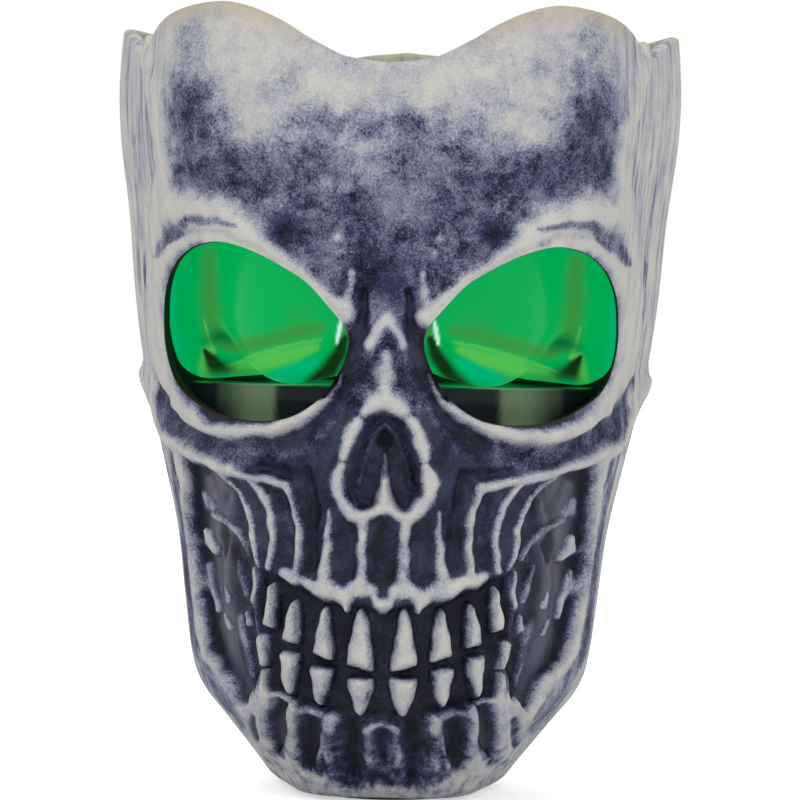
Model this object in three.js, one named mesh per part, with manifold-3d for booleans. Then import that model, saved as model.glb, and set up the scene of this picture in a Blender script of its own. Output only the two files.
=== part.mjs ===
// Skull votive holder: a hollow skull cup with open eyes, a green lobed cup standing inside it on a
// dark stand, and a battery tea light in the green cup. The face looks along -Y and +Z is up.
// The origin is the centre of the underside of the base pad.
import * as THREE from 'three';
import Module from 'manifold-3d';
import { mergeVertices } from 'three/addons/utils/BufferGeometryUtils.js';

const wasm = await Module();
wasm.setup();

// Driving dimensions of the skull, in millimetres
const skullHeight = 107;
const topRadius = 39.4;
const shellWall = 3.6;
const upperWall = 2;
const floorThickness = 3.8;
const rimDrop = 8;
const lipRound = 0.8;
const muzzleRise = 2.4;
const boneRise = 1.4;
const thinBoneRise = 0.8;
const toothRise = 0.7;
const cheekSink = 2.6;
const mouthSink = 1.6;
const noseSink = 2.8;
const grooveSink = 0.9;
const slotSink = 1.2;
const lobeCount = 5;
const lobeDepthShare = 0.05;

// The face is laid out on an upright sheet through the skull's axis, as seen from this place.
const sheetViewDistance = 424;
const sheetViewHeight = 67;
const sheetWidthShare = 2.893;

// Base pad, stand and its screws
const padThickness = 0.6;
const padInset = 2.5;
const standOverhang = 1.6;
const standWall = 2.4;
const standTopThickness = 2.6;
const standClearance = 0.8;
const standTopShare = 0.53;
const seatGap = 0.3;
const screwCircleRadius = 7.6;
const screwShaftRadius = 1.2;
const screwLength = 9;
const screwHeadRadius = 2.3;
const screwHeadThickness = 1.2;
const screwCounterboreDepth = 1.8;
const screwClearance = 0.4;
const screwRecessWidth = 0.8;
const screwRecessDepth = 0.6;
const bossWall = 1.5;
const screwCount = 3;

// Green liner cup
const linerHeight = 39;
const linerWall = 2.2;
const linerFloor = 6;
const linerClearance = 0.4;
const linerFootRound = 8;
const linerArch = 2.4;
const linerLobeCount = 6;
const linerLobeDepthShare = 0.05;
const linerStraightShare = 0.8;

// Battery tea light
const teaRadius = 18.75;
const teaHeight = 16;
const teaWall = 1.2;
const teaTopDish = 1.6;
const teaRimWidth = 1.8;
const teaDishSlope = 1.2;
const teaFit = 0.3;
const teaRecess = 0.8;
const teaPlateThickness = 1.4;
const flameRadius = 4.6;
const flameHeight = 19;
const flameWall = 1.1;
const coinStep = 0.4;
const batteryRadius = 10;
const batteryHeight = 3.2;
const batteryOffset = 3.5;
const doorMargin = 1.3;
const doorTabReach = 1.4;
const doorTabThickness = 0.8;
const doorTabAngle = 26;
const doorTurn = 45;
const doorSlotWidth = 1.6;
const doorSlotDepth = 0.6;
const contactThickness = 0.4;
const contactWidth = 4;
const boardThickness = 1;
const boardLength = 28;
const boardWidth = 10.5;
const boardPostRadius = 1.1;
const ledRadius = 1.5;
const ledHeight = 4.6;
const ledFlange = 0.4;
const switchLength = 3;
const switchWidth = 2.4;
const switchTravel = 2.5;
const switchOffset = 13;
const switchFlange = 0.9;

// One overrun serves every cut.
const overrun = 1;
const roundSegments = 40;
const smallSegments = 20;
const columnsPerLobe = 10;
const domeSteps = 5;
const tabSteps = 6;
const standSteps = 6;

const radians = THREE.MathUtils.degToRad;
const clamp = THREE.MathUtils.clamp;

function smoothstep(low, high, value) {
  const t = clamp((value - low) / (high - low), 0, 1);
  return t * t * (3 - 2 * t);
}

// Reads a smooth curve through a table of [place, value] rows.
function curveThrough(table, place) {
  const last = table.length - 1;
  if (place <= table[0][0]) return table[0][1];
  if (place >= table[last][0]) return table[last][1];
  let k = 0;
  while (place > table[k + 1][0]) k += 1;
  const slope = (i) => {
    const before = table[Math.max(i - 1, 0)];
    const after = table[Math.min(i + 1, last)];
    return (after[1] - before[1]) / (after[0] - before[0]);
  };
  const span = table[k + 1][0] - table[k][0];
  const t = (place - table[k][0]) / span;
  const fromStart = (1 + 2 * t) * (1 - t) ** 2 * table[k][1] + t * (1 - t) ** 2 * span * slope(k);
  const fromEnd = t * t * (3 - 2 * t) * table[k + 1][1] + t * t * (t - 1) * span * slope(k + 1);
  return fromStart + fromEnd;
}

// A geometry becomes a solid once its seam is merged and its collapsed faces are gone.
function solidOf(geometry) {
  const bare = geometry.index ? geometry.toNonIndexed() : geometry.clone();
  bare.deleteAttribute('normal');
  bare.deleteAttribute('uv');
  const merged = mergeVertices(bare);
  const corners = merged.index.array;
  const kept = [];
  for (let i = 0; i < corners.length; i += 3) {
    const [a, b, c] = [corners[i], corners[i + 1], corners[i + 2]];
    if (a !== b && b !== c && c !== a) kept.push(a, b, c);
  }
  return new wasm.Manifold(new wasm.Mesh({
    numProp: 3,
    vertProperties: merged.attributes.position.array,
    triVerts: new Uint32Array(kept),
  }));
}

function geometryOf(solid) {
  const mesh = solid.getMesh();
  const geometry = new THREE.BufferGeometry();
  geometry.setAttribute('position', new THREE.BufferAttribute(mesh.vertProperties, mesh.numProp));
  geometry.setIndex(new THREE.BufferAttribute(mesh.triVerts, 1));
  geometry.computeVertexNormals();
  return geometry;
}

// A closed skin over a stack of rings, from a first centre point to a last one.
function ringSkin(startCentre, rings, endCentre) {
  const count = rings[0].length;
  const places = [startCentre, ...rings.flat(), endCentre];
  const faces = [];
  const at = (ring, i) => 1 + ring * count + (i % count);
  for (let i = 0; i < count; i += 1) {
    faces.push(0, at(0, i + 1), at(0, i));
    for (let ring = 0; ring < rings.length - 1; ring += 1) {
      faces.push(at(ring, i), at(ring, i + 1), at(ring + 1, i + 1));
      faces.push(at(ring, i), at(ring + 1, i + 1), at(ring + 1, i));
    }
    faces.push(at(rings.length - 1, i), at(rings.length - 1, i + 1), places.length - 1);
  }
  const geometry = new THREE.BufferGeometry();
  geometry.setAttribute('position', new THREE.Float32BufferAttribute(places.flat(), 3));
  geometry.setIndex(faces);
  return geometry;
}

// A turned piece: the profile's [radius, height] points run anticlockwise round its section.
function turned(profile, segments = roundSegments) {
  const points = profile.map(([radius, height]) => new THREE.Vector2(radius, height));
  return new THREE.LatheGeometry(points, segments).rotateX(Math.PI / 2);
}

function disc(radius, low, high, segments = smallSegments) {
  return turned([[0, low], [radius, low], [radius, high], [0, high]], segments);
}

function block(length, width, low, high) {
  return new THREE.BoxGeometry(length, width, high - low).translate(0, 0, (low + high) / 2);
}

// A plate cut to an outline in the X and Z directions, with its width along Y.
function plate(outline, width) {
  const shape = new THREE.Shape(outline.map(([x, z]) => new THREE.Vector2(x, z)));
  const geometry = new THREE.ExtrudeGeometry(shape, { depth: width, bevelEnabled: false });
  return geometry.translate(0, 0, -width / 2).rotateX(Math.PI / 2);
}

// The skull's plain body: [share of the height, share of the top radius]
const bodyShares = [
  [0, 0.4], [0.028, 0.457], [0.084, 0.579], [0.121, 0.66], [0.155, 0.7], [0.23, 0.731],
  [0.33, 0.764], [0.42, 0.817], [0.53, 0.886], [0.635, 0.929], [0.75, 0.957], [0.85, 0.992],
  [0.92, 1], [1, 0.988],
];
// The rim's fall below its peaks: [degrees from the face's middle, share of the rim drop]
const rimShares = [
  [0, 1], [9, 0.9], [13, 0.75], [17, 0.57], [21, 0.36], [26, 0.16], [30, 0.05], [34, 0], [41, 0.03],
  [47, 0.09], [52, 0.17], [57, 0.29], [61, 0.45], [64, 0.6], [68, 0.34], [72, 0.62], [78, 0.42],
  [90, 0.13], [105, 0], [118, 0.1], [132, 0.6], [144, 0.9], [156, 0.6], [168, 0.15], [180, 0],
];

// Shares of the height between which the muzzle starts, the muzzle fades out and the wall thins
const muzzleStartShares = [0, 0.12];
const muzzleFadeShares = [0.4, 0.58];
const wallFadeShares = [0.49, 0.56];
const muzzleTurn = radians(30);

// From -1 in a valley to 1 on a lobe, with a valley in the face's middle
function lobe(angle, count) {
  return -Math.cos(count * angle);
}

// Radius of the plain body at a turn from the face's middle, before the face is carved.
function bodyRadius(angle, height) {
  const share = clamp(height / skullHeight, 0, 1);
  const lobes = 1 + lobeDepthShare * lobe(angle, lobeCount);
  const across = Math.exp(-((angle / muzzleTurn) ** 2));
  const up = smoothstep(...muzzleStartShares, share) * (1 - smoothstep(...muzzleFadeShares, share));
  return topRadius * curveThrough(bodyShares, share) * lobes + muzzleRise * across * up;
}

// The wall is thick behind the deep carving of the jaws and thinner from the eyes upwards.
function wallAt(height) {
  return shellWall + (upperWall - shellWall) * smoothstep(...wallFadeShares, height / skullHeight);
}

function rimHeight(angle) {
  const degrees = THREE.MathUtils.radToDeg(Math.abs(angle));
  return skullHeight - rimDrop * curveThrough(rimShares, degrees);
}

// Place on the sheet: the share across from the middle, and the share up from the chin.
const sheetWidth = sheetWidthShare * topRadius;
const sheetAngle = radians(80);

function sheetPoint(x, y, height) {
  const nearness = sheetViewDistance / (sheetViewDistance + y);
  return [x * nearness, sheetViewHeight + (height - sheetViewHeight) * nearness];
}

const chinFront = topRadius * bodyShares[0][1];
const sheetLow = sheetPoint(0, -chinFront, 0)[1];
const browTurn = radians(34);
const sheetHigh = sheetPoint(0, -bodyRadius(browTurn, skullHeight) * Math.cos(browTurn), skullHeight)[1];

function sheetPlace(angle, height) {
  const turn = Math.min(Math.abs(angle), sheetAngle);
  const radius = bodyRadius(turn, height);
  const [across, up] = sheetPoint(radius * Math.sin(turn), -radius * Math.cos(turn), height);
  const beyond = (Math.abs(angle) - turn) * radius;
  return [(across + beyond) / sheetWidth, (up - sheetLow) / (sheetHigh - sheetLow)];
}

// The point of the plain body that stands at a place on the sheet, found by closing in on it.
const closingRounds = 12;

function bodyPoint([acrossShare, upShare]) {
  const across = acrossShare * sheetWidth;
  const up = sheetLow + upShare * (sheetHigh - sheetLow);
  let point = [across, -topRadius, up];
  for (let round = 0; round < closingRounds; round += 1) {
    const nearness = sheetViewDistance / (sheetViewDistance + point[1]);
    const x = across / nearness;
    const height = sheetViewHeight + (up - sheetViewHeight) / nearness;
    const radius = bodyRadius(Math.asin(clamp(x / topRadius, -1, 1)), height);
    const turn = Math.asin(clamp(x / radius, -1, 1));
    point = [x, -bodyRadius(turn, height) * Math.cos(turn), height];
  }
  return point;
}

// Outlines and lines of the face on the sheet. A line's rows are [across, up, half width].
const eyeShares = [
  [0.047, 0.572], [0.052, 0.594], [0.072, 0.619], [0.1, 0.649], [0.135, 0.671], [0.17, 0.688],
  [0.207, 0.698], [0.24, 0.693], [0.265, 0.674], [0.28, 0.642], [0.284, 0.6], [0.281, 0.56],
  [0.268, 0.522], [0.245, 0.499], [0.21, 0.48], [0.17, 0.473], [0.13, 0.476], [0.1, 0.489],
  [0.075, 0.511], [0.057, 0.54],
];
const cheekHollowShares = [
  [0.246, 0.425], [0.251, 0.38], [0.251, 0.33], [0.245, 0.28], [0.236, 0.24], [0.226, 0.2],
  [0.206, 0.165], [0.184, 0.135], [0.166, 0.13], [0.158, 0.17], [0.165, 0.21], [0.172, 0.25],
  [0.166, 0.3], [0.172, 0.34], [0.184, 0.38], [0.205, 0.403],
];
const mouthHollowShares = [
  [-0.06, 0.25], [0, 0.243], [0.05, 0.247], [0.1, 0.262], [0.135, 0.28], [0.163, 0.285], [0.17, 0.25],
  [0.168, 0.21], [0.158, 0.165], [0.143, 0.132], [0.12, 0.114], [0.08, 0.102], [0.04, 0.096],
  [-0.06, 0.096],
];
const noseHollowShares = [
  [-0.02, 0.47], [0, 0.486], [0.02, 0.472], [0.034, 0.44], [0.044, 0.41], [0.048, 0.385],
  [0.038, 0.367], [0.02, 0.364], [0, 0.374], [-0.02, 0.364],
];
const grooveLineShares = [
  [[0.034, 0.586, 0.012], [0.054, 0.53, 0.016], [0.078, 0.49, 0.02], [0.115, 0.452, 0.022]],
  [[0.302, 0.535, 0.01], [0.28, 0.495, 0.014], [0.25, 0.468, 0.016], [0.2, 0.446, 0.016],
    [0.14, 0.438, 0.018]],
  [[0.284, 0.684, 0.007], [0.27, 0.704, 0.009], [0.25, 0.719, 0.01], [0.228, 0.72, 0.009],
    [0.204, 0.706, 0.006]],
  [[0, 0.34, 0.016], [0, 0.275, 0.015]],
  [[0.048, 0.345, 0.015], [0.048, 0.282, 0.014]],
  [[0.089, 0.36, 0.012], [0.09, 0.295, 0.012]],
  [[0.124, 0.37, 0.01], [0.122, 0.305, 0.01]],
];
const slotLineShares = [
  [[0, 0.078, 0.008], [0, 0.05, 0.008]],
  [[0.04, 0.088, 0.015], [0.04, 0.04, 0.013]],
  [[0.092, 0.09, 0.014], [0.093, 0.055, 0.012]],
  [[0.131, 0.104, 0.01], [0.13, 0.066, 0.008]],
];
const boneLineShares = [
  [[0.052, 0.612, 0.01], [0.08, 0.642, 0.011], [0.115, 0.676, 0.014], [0.155, 0.703, 0.017],
    [0.2, 0.729, 0.022], [0.245, 0.745, 0.024], [0.275, 0.75, 0.018]],
  [[0.41, 0.572, 0.004], [0.37, 0.556, 0.01], [0.335, 0.537, 0.014], [0.312, 0.52, 0.016],
    [0.29, 0.478, 0.014], [0.25, 0.437, 0.01], [0.2, 0.414, 0.009], [0.15, 0.402, 0.009],
    [0.118, 0.392, 0.01], [0.109, 0.36, 0.009], [0.105, 0.32, 0.009], [0.107, 0.283, 0.01]],
  [[0.318, 0.965, 0.008], [0.312, 0.93, 0.009], [0.3, 0.88, 0.01], [0.29, 0.83, 0.011],
    [0.284, 0.79, 0.013], [0.287, 0.75, 0.014], [0.292, 0.7, 0.011], [0.295, 0.65, 0.01],
    [0.297, 0.59, 0.01], [0.296, 0.54, 0.01]],
  [[0, 0.505, 0.016], [0.018, 0.497, 0.013]],
];
const thinBoneLineShares = [
  [[0.175, 0.403, 0.006], [0.155, 0.38, 0.007], [0.145, 0.345, 0.008], [0.14, 0.31, 0.009],
    [0.135, 0.288, 0.009]],
  [[0.2, 0.407, 0.004], [0.18, 0.385, 0.005], [0.166, 0.358, 0.006], [0.16, 0.33, 0.006],
    [0.155, 0.305, 0.007], [0.148, 0.287, 0.007]],
  [[0.024, 0.35, 0.006], [0.027, 0.3, 0.007], [0.025, 0.262, 0.008]],
  [[0.069, 0.362, 0.006], [0.071, 0.32, 0.007], [0.073, 0.29, 0.008], [0.079, 0.268, 0.009]],
  [[0, 0.247, 0.009], [0.02, 0.26, 0.008], [0.045, 0.253, 0.01], [0.075, 0.262, 0.009],
    [0.105, 0.272, 0.01], [0.135, 0.285, 0.009]],
  [[0.03, 0.488, 0.009], [0.042, 0.465, 0.008], [0.048, 0.435, 0.008], [0.058, 0.415, 0.009],
    [0.064, 0.393, 0.01], [0.055, 0.368, 0.01], [0.03, 0.356, 0.01], [0.012, 0.36, 0.009],
    [0, 0.37, 0.008]],
  [[0, 0.56, 0.01], [0, 0.525, 0.011]],
  [[0, 0.603, 0.008], [0.012, 0.59, 0.008], [0.023, 0.572, 0.007]],
  [[0.268, 0.44, 0.012], [0.262, 0.4, 0.01], [0.262, 0.35, 0.01], [0.256, 0.3, 0.01],
    [0.247, 0.25, 0.01], [0.238, 0.215, 0.01], [0.23, 0.19, 0.01], [0.215, 0.16, 0.01],
    [0.198, 0.133, 0.012], [0.178, 0.105, 0.014]],
  [[0.158, 0.165, 0.007], [0.148, 0.138, 0.009], [0.125, 0.117, 0.009], [0.1, 0.106, 0.008],
    [0.075, 0.099, 0.008], [0.05, 0.095, 0.006], [0.02, 0.091, 0.006], [0, 0.094, 0.006]],
];
// Teeth: [neck or tip across, up, inner edge across, outer edge across, biting edge up]
const toothShares = [
  [0.029, 0.233, 0.011, 0.044, 0.166], [0.0725, 0.239, 0.0625, 0.0885, 0.179],
  [0.106, 0.25, 0.1035, 0.126, 0.194], [0.139, 0.264, 0.137, 0.151, 0.217],
  [0.026, 0.105, 0.01, 0.042, 0.152], [0.078, 0.122, 0.064, 0.091, 0.167],
  [0.1175, 0.134, 0.1065, 0.129, 0.185], [0.15, 0.165, 0.143, 0.156, 0.2],
];
const toothNeckShare = 0.007;
const softEdgeShare = 0.01;
const toothEdgeShare = 0.006;

function toothOutline([neck, neckUp, inner, outer, biteUp]) {
  return [[neck - toothNeckShare, neckUp], [neck + toothNeckShare, neckUp], [outer, biteUp],
    [inner, biteUp]];
}

// Distance from a place to the stretch between two points, and how far along it that is.
function stretchDistance([x, y], [ax, ay], [bx, by]) {
  const [dx, dy] = [bx - ax, by - ay];
  const along = clamp(((x - ax) * dx + (y - ay) * dy) / (dx * dx + dy * dy), 0, 1);
  return [Math.hypot(x - ax - along * dx, y - ay - along * dy), along];
}

// How fully a line of given half widths covers a place, from 0 to 1. Its edge is soft between
// these shares of the half width.
const lineEdgeShares = [0.5, 1.5];

function lineCover(path, place) {
  let cover = 0;
  for (let k = 0; k < path.length - 1; k += 1) {
    const [distance, along] = stretchDistance(place, path[k], path[k + 1]);
    const halfWidth = path[k][2] + along * (path[k + 1][2] - path[k][2]);
    cover = Math.max(cover, 1 - smoothstep(...lineEdgeShares, distance / halfWidth));
  }
  return cover;
}

// How fully a closed outline covers a place, with a soft edge.
function patchCover(outline, edge, place) {
  let distance = Infinity;
  let inside = false;
  outline.forEach((from, k) => {
    const to = outline[(k + 1) % outline.length];
    distance = Math.min(distance, stretchDistance(place, from, to)[0]);
    const crosses = (from[1] > place[1]) !== (to[1] > place[1]);
    const crossing = from[0] + ((place[1] - from[1]) / (to[1] - from[1])) * (to[0] - from[0]);
    if (crosses && place[0] < crossing) inside = !inside;
  });
  return smoothstep(-edge, edge, inside ? distance : -distance);
}

// The face's relief: each mark in turn draws the surface to its own level.
const eyeRingShare = 0.015;
const closedEyeRing = [...eyeShares, eyeShares[0]].map(([across, up]) => [across, up, eyeRingShare]);
const marks = [
  { level: -cheekSink, outline: cheekHollowShares, edge: softEdgeShare },
  { level: -mouthSink, outline: mouthHollowShares, edge: softEdgeShare },
  ...grooveLineShares.map((path) => ({ level: -grooveSink, path })),
  ...slotLineShares.map((path) => ({ level: -slotSink, path })),
  ...boneLineShares.map((path) => ({ level: boneRise, path })),
  ...thinBoneLineShares.map((path) => ({ level: thinBoneRise, path })),
  { level: boneRise, path: closedEyeRing },
  { level: -noseSink, outline: noseHollowShares, edge: softEdgeShare },
  ...toothShares.map((tooth) => ({
    level: toothRise, outline: toothOutline(tooth), edge: toothEdgeShare,
  })),
];

function relief(angle, height) {
  const place = sheetPlace(angle, height);
  return marks.reduce((level, mark) => {
    const cover = mark.path
      ? lineCover(mark.path, place)
      : patchCover(mark.outline, mark.edge, place);
    return level + (mark.level - level) * cover;
  }, 0);
}

function skullPoint(angle, height, radius) {
  return [radius * Math.sin(angle), -radius * Math.cos(angle), height];
}

// Steps along a run of bands, each row being [end of the band, steps in it].
function bandSteps(start, bands) {
  const steps = [start];
  bands.forEach(([end, count]) => {
    const from = steps[steps.length - 1];
    for (let i = 1; i <= count; i += 1) steps.push(from + ((end - from) * i) / count);
  });
  return steps;
}

// Columns are close over the face, and rows are close over the jaws and the eyes.
const sideTurnBands = [[60, 24], [90, 4], [180, 9]];
const outerBandShares = [[0.06, 2], [0.29, 18], [0.68, 17], [0.97, 5]];
const innerBandShares = [[0.7, 2], [0.56, 2], [0.49, 1], [0.1, 8]];
const outerStartShare = 0.012;
const innerStartShare = 0.995;
const rimFollowShares = [0.55, 1];
const discRingShare = 0.5;

const sideTurns = bandSteps(0, sideTurnBands);
const columnTurns = [...sideTurns.slice(1).map((turn) => -turn).reverse(), ...sideTurns.slice(0, -1)];
const outerRowShares = bandSteps(outerStartShare, outerBandShares);
const innerRowShares = bandSteps(innerStartShare, innerBandShares);

// Rows keep their height low down and follow the scalloped rim higher up.
function rowHeight(angle, share) {
  const fall = skullHeight - rimHeight(angle);
  return share * skullHeight - fall * smoothstep(...rimFollowShares, share) * share;
}

function skullShell() {
  const turns = columnTurns.map(radians);
  const ring = (place) => turns.map(place);
  const innerRadius = (turn, height) => bodyRadius(turn, height) - wallAt(height);
  const atRim = (inset, sink) => ring((turn) => {
    const height = rimHeight(turn) - sink;
    return skullPoint(turn, height, bodyRadius(turn, height) - inset);
  });
  const baseRings = [discRingShare, 1].map((share) => ring((turn) => (
    skullPoint(turn, 0, share * (bodyRadius(turn, 0) - lipRound)))));
  const outerRings = outerRowShares.map((share) => ring((turn) => {
    const height = rowHeight(turn, share);
    return skullPoint(turn, height, bodyRadius(turn, height) + relief(turn, height));
  }));
  const lipRings = [
    atRim(0, lipRound),
    atRim(lipRound, 0),
    atRim(upperWall - lipRound, 0),
    atRim(upperWall, lipRound),
  ];
  const innerRings = innerRowShares.slice(1).map((share) => ring((turn) => {
    const height = rowHeight(turn, share);
    return skullPoint(turn, height, innerRadius(turn, height));
  }));
  const floorRings = [1, discRingShare].map((share) => ring((turn) => (
    skullPoint(turn, floorThickness, share * innerRadius(turn, floorThickness)))));
  const shell = ringSkin(
    [0, 0, 0],
    [...baseRings, ...outerRings, ...lipRings, ...innerRings, ...floorRings],
    [0, 0, floorThickness],
  );
  let solid = solidOf(shell);
  [1, -1].forEach((side) => {
    solid = solid.subtract(solidOf(eyeCutter(side)));
  });
  screwPlaces().forEach(([x, y]) => {
    const hole = disc(screwShaftRadius + screwClearance, -overrun, floorThickness + overrun);
    const bore = disc(screwHeadRadius + screwClearance, -overrun, screwCounterboreDepth);
    solid = solid.subtract(solidOf(hole.translate(x, y, 0)));
    solid = solid.subtract(solidOf(bore.translate(x, y, 0)));
  });
  return geometryOf(solid);
}

// Each eye is cut straight back through the wall.
function eyeCutter(side) {
  const rim = eyeShares.map(bodyPoint);
  const [middleX, middleZ] = [0, 2].map((axis) => (
    rim.reduce((sum, point) => sum + point[axis], 0) / rim.length));
  const ringAt = (y) => {
    const ring = rim.map(([x, , z]) => [side * x, y, z]);
    return side > 0 ? ring : ring.reverse();
  };
  const front = -topRadius * (1 + lobeDepthShare) - overrun - boneRise;
  return ringSkin(
    [side * middleX, front, middleZ],
    [ringAt(front), ringAt(0)],
    [side * middleX, 0, middleZ],
  );
}

function screwPlaces() {
  return Array.from({ length: screwCount }, (_, i) => {
    const turn = (2 * Math.PI * i) / screwCount;
    return [screwCircleRadius * Math.sin(turn), screwCircleRadius * Math.cos(turn)];
  });
}

// Heights above the underside of the pad
const skullBase = padThickness;
const standBase = skullBase + floorThickness + seatGap;
const standTop = skullBase + standTopShare * skullHeight;
const linerBase = standTop + seatGap;
const teaBase = linerBase + linerFloor + seatGap;

// The skull's narrowest inner radius, in a valley between two lobes
function cavityRadius(height) {
  const share = clamp((height - skullBase) / skullHeight, 0, 1);
  const narrow = topRadius * curveThrough(bodyShares, share) * (1 - lobeDepthShare);
  return narrow - wallAt(height - skullBase);
}

// The liner can be turned freely in the cavity. It widens as the cavity does, and its wall runs
// straight from some way below the rim, so that it lifts out.
function linerRadius(angle, height) {
  const straight = skullBase + linerStraightShare * skullHeight;
  const onLobe = cavityRadius(Math.min(linerBase + height, straight)) - linerClearance;
  return onLobe * (1 - linerLobeDepthShare * (1 - lobe(angle, linerLobeCount)));
}

// The stand is a drum open below. Its foot is narrow and it widens as the skull's cavity does.
// The liner's lobes reach a little over its edge.
const standRadius = linerRadius(Math.PI / linerLobeCount, 0) - standOverhang;

function innerStand() {
  const rows = bandSteps(standBase, [[standTop, standSteps]]);
  const outer = rows.map((height) => [
    Math.min(standRadius, cavityRadius(height) - standClearance), height]);
  const inner = rows.map((height, i) => [outer[i][0] - standWall, height]).reverse();
  const ceiling = standTop - standTopThickness;
  const hollow = inner.filter(([, height]) => height < ceiling);
  const profile = [...outer, [0, standTop], [0, ceiling], [standRadius - standWall, ceiling], ...hollow];
  let solid = solidOf(turned([...profile, outer[0]]));
  const bossHeight = screwLength + bossWall;
  screwPlaces().forEach(([x, y]) => {
    const boss = disc(screwShaftRadius + screwClearance + bossWall, standBase, standBase + bossHeight);
    const web = block(standWall, cavityRadius(standBase) - standClearance - overrun - screwCircleRadius,
      standBase, standBase + bossHeight);
    const reach = (cavityRadius(standBase) - standClearance - overrun + screwCircleRadius) / 2;
    web.translate(0, reach, 0).rotateZ(-Math.atan2(x, y));
    solid = solid.add(solidOf(boss.translate(x, y, 0))).add(solidOf(web));
  });
  screwPlaces().forEach(([x, y]) => {
    const bore = disc(screwShaftRadius + screwClearance, standBase - overrun, standBase + screwLength);
    solid = solid.subtract(solidOf(bore.translate(x, y, 0)));
  });
  return geometryOf(solid);
}

// A screw with a cross recess in its head, driven up from under the floor
function standScrew() {
  const headTop = screwCounterboreDepth - seatGap;
  const headLow = headTop - screwHeadThickness;
  const tip = headTop + screwLength;
  const point = tip - screwShaftRadius;
  const body = turned([
    [0, headLow], [screwHeadRadius - screwRecessDepth, headLow], [screwHeadRadius, headTop],
    [screwShaftRadius, headTop], [screwShaftRadius, point], [0, tip],
  ], smallSegments);
  let solid = solidOf(body);
  const recessLength = screwHeadRadius;
  [0, Math.PI / 2].forEach((turn) => {
    const slot = block(recessLength, screwRecessWidth, headLow - overrun, headLow + screwRecessDepth);
    solid = solid.subtract(solidOf(slot.rotateZ(turn)));
  });
  return geometryOf(solid);
}

// The pad is a flat disc with a softened lower edge.
function basePad() {
  const radius = topRadius * bodyShares[0][1] * (1 - lobeDepthShare) - padInset;
  const edge = padThickness / 3;
  return geometryOf(solidOf(turned([
    [0, 0], [radius - edge, 0], [radius, edge], [radius, padThickness], [0, padThickness],
  ])));
}

// The liner stands on a flat ring. Each lobe ends in a rounded foot outside it, and the valleys
// between the feet end higher up. A row is [share of the foot's round inwards, share of it upwards,
// share of it that a valley is lifted].
const linerFootShares = [
  [1, 0, 0], [0.5, 0, 0.16], [0.27, 0.06, 0.44], [0.1, 0.24, 0.64], [0.02, 0.6, 0.5], [0, 1, 0.24],
];
// Rows of the outside and of the inside above the foot: [share of the height, share of the foot's
// round inwards]
const linerOuterShares = [[0.42, 0], [0.62, 0], [0.8, 0], [1, 0]];
const linerInnerShares = [[1, 0], [0.8, 0], [0.62, 0], [0.42, 0.02], [0.26, 0.1], [0.18, 0.32]];
const linerFloorShare = 0.56;

function votiveLiner() {
  const columns = linerLobeCount * columnsPerLobe;
  const turns = Array.from({ length: columns }, (_, i) => (2 * Math.PI * i) / columns);
  const ring = (height, inset) => turns.map((turn) => (
    skullPoint(turn, height, linerRadius(turn, height) - inset)));
  const feet = linerFootShares.map(([inShare, upShare, liftShare]) => turns.map((turn) => {
    const valley = (1 - lobe(turn, linerLobeCount)) / 2;
    const height = linerFootRound * (upShare + liftShare * valley);
    return skullPoint(turn, height, linerRadius(turn, height) - linerFootRound * inShare);
  }));
  const underside = turns.map((turn) => (
    skullPoint(turn, linerArch, discRingShare * (linerRadius(turn, 0) - linerFootRound))));
  const outer = linerOuterShares.map(([upShare, inShare]) => (
    ring(linerHeight * upShare, linerFootRound * inShare)));
  const inner = linerInnerShares.map(([upShare, inShare]) => (
    ring(Math.max(linerHeight * upShare, linerFloor), linerWall + linerFootRound * inShare)));
  const floor = ring(linerFloor, linerWall + linerFootRound * linerFloorShare);
  return geometryOf(solidOf(ringSkin(
    [0, 0, linerArch],
    [underside, ...feet, ...outer, ...inner, floor],
    [0, 0, linerFloor],
  )));
}

// The tea light's case: a cup upside down with a dished top and a collar for the flame
function teaBody() {
  const collar = flameRadius + teaFit;
  const inside = teaRadius - teaWall;
  const topEdge = teaHeight;
  const dish = teaHeight - teaTopDish;
  return geometryOf(solidOf(turned([
    [inside, 0], [teaRadius, 0], [teaRadius, topEdge - teaWall], [teaRadius - teaWall / 2, topEdge],
    [teaRadius - teaRimWidth, topEdge], [teaRadius - teaRimWidth - teaDishSlope, dish],
    [collar, dish], [collar, dish - teaWall], [inside, dish - teaWall], [inside, 0],
  ])));
}

// Heights inside the tea light, from its underside
const plateLow = teaRecess;
const plateTop = plateLow + teaPlateThickness;
const tabLow = plateTop + teaFit / 2;
const batteryLow = tabLow + doorTabThickness + teaFit / 2;
const batteryTop = batteryLow + batteryHeight;
const boardLow = batteryTop + 3 * contactThickness;
const boardTop = boardLow + boardThickness;
const doorRadius = batteryRadius + doorMargin;

function doorTab(turn, reach, low, high) {
  const sector = new THREE.Shape();
  const half = radians(doorTabAngle / 2);
  sector.absarc(0, 0, reach, -half, half, false);
  sector.lineTo(0, 0);
  const geometry = new THREE.ExtrudeGeometry(sector, {
    depth: high - low, bevelEnabled: false, curveSegments: tabSteps,
  });
  return geometry.translate(0, 0, low).rotateZ(turn);
}

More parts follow.
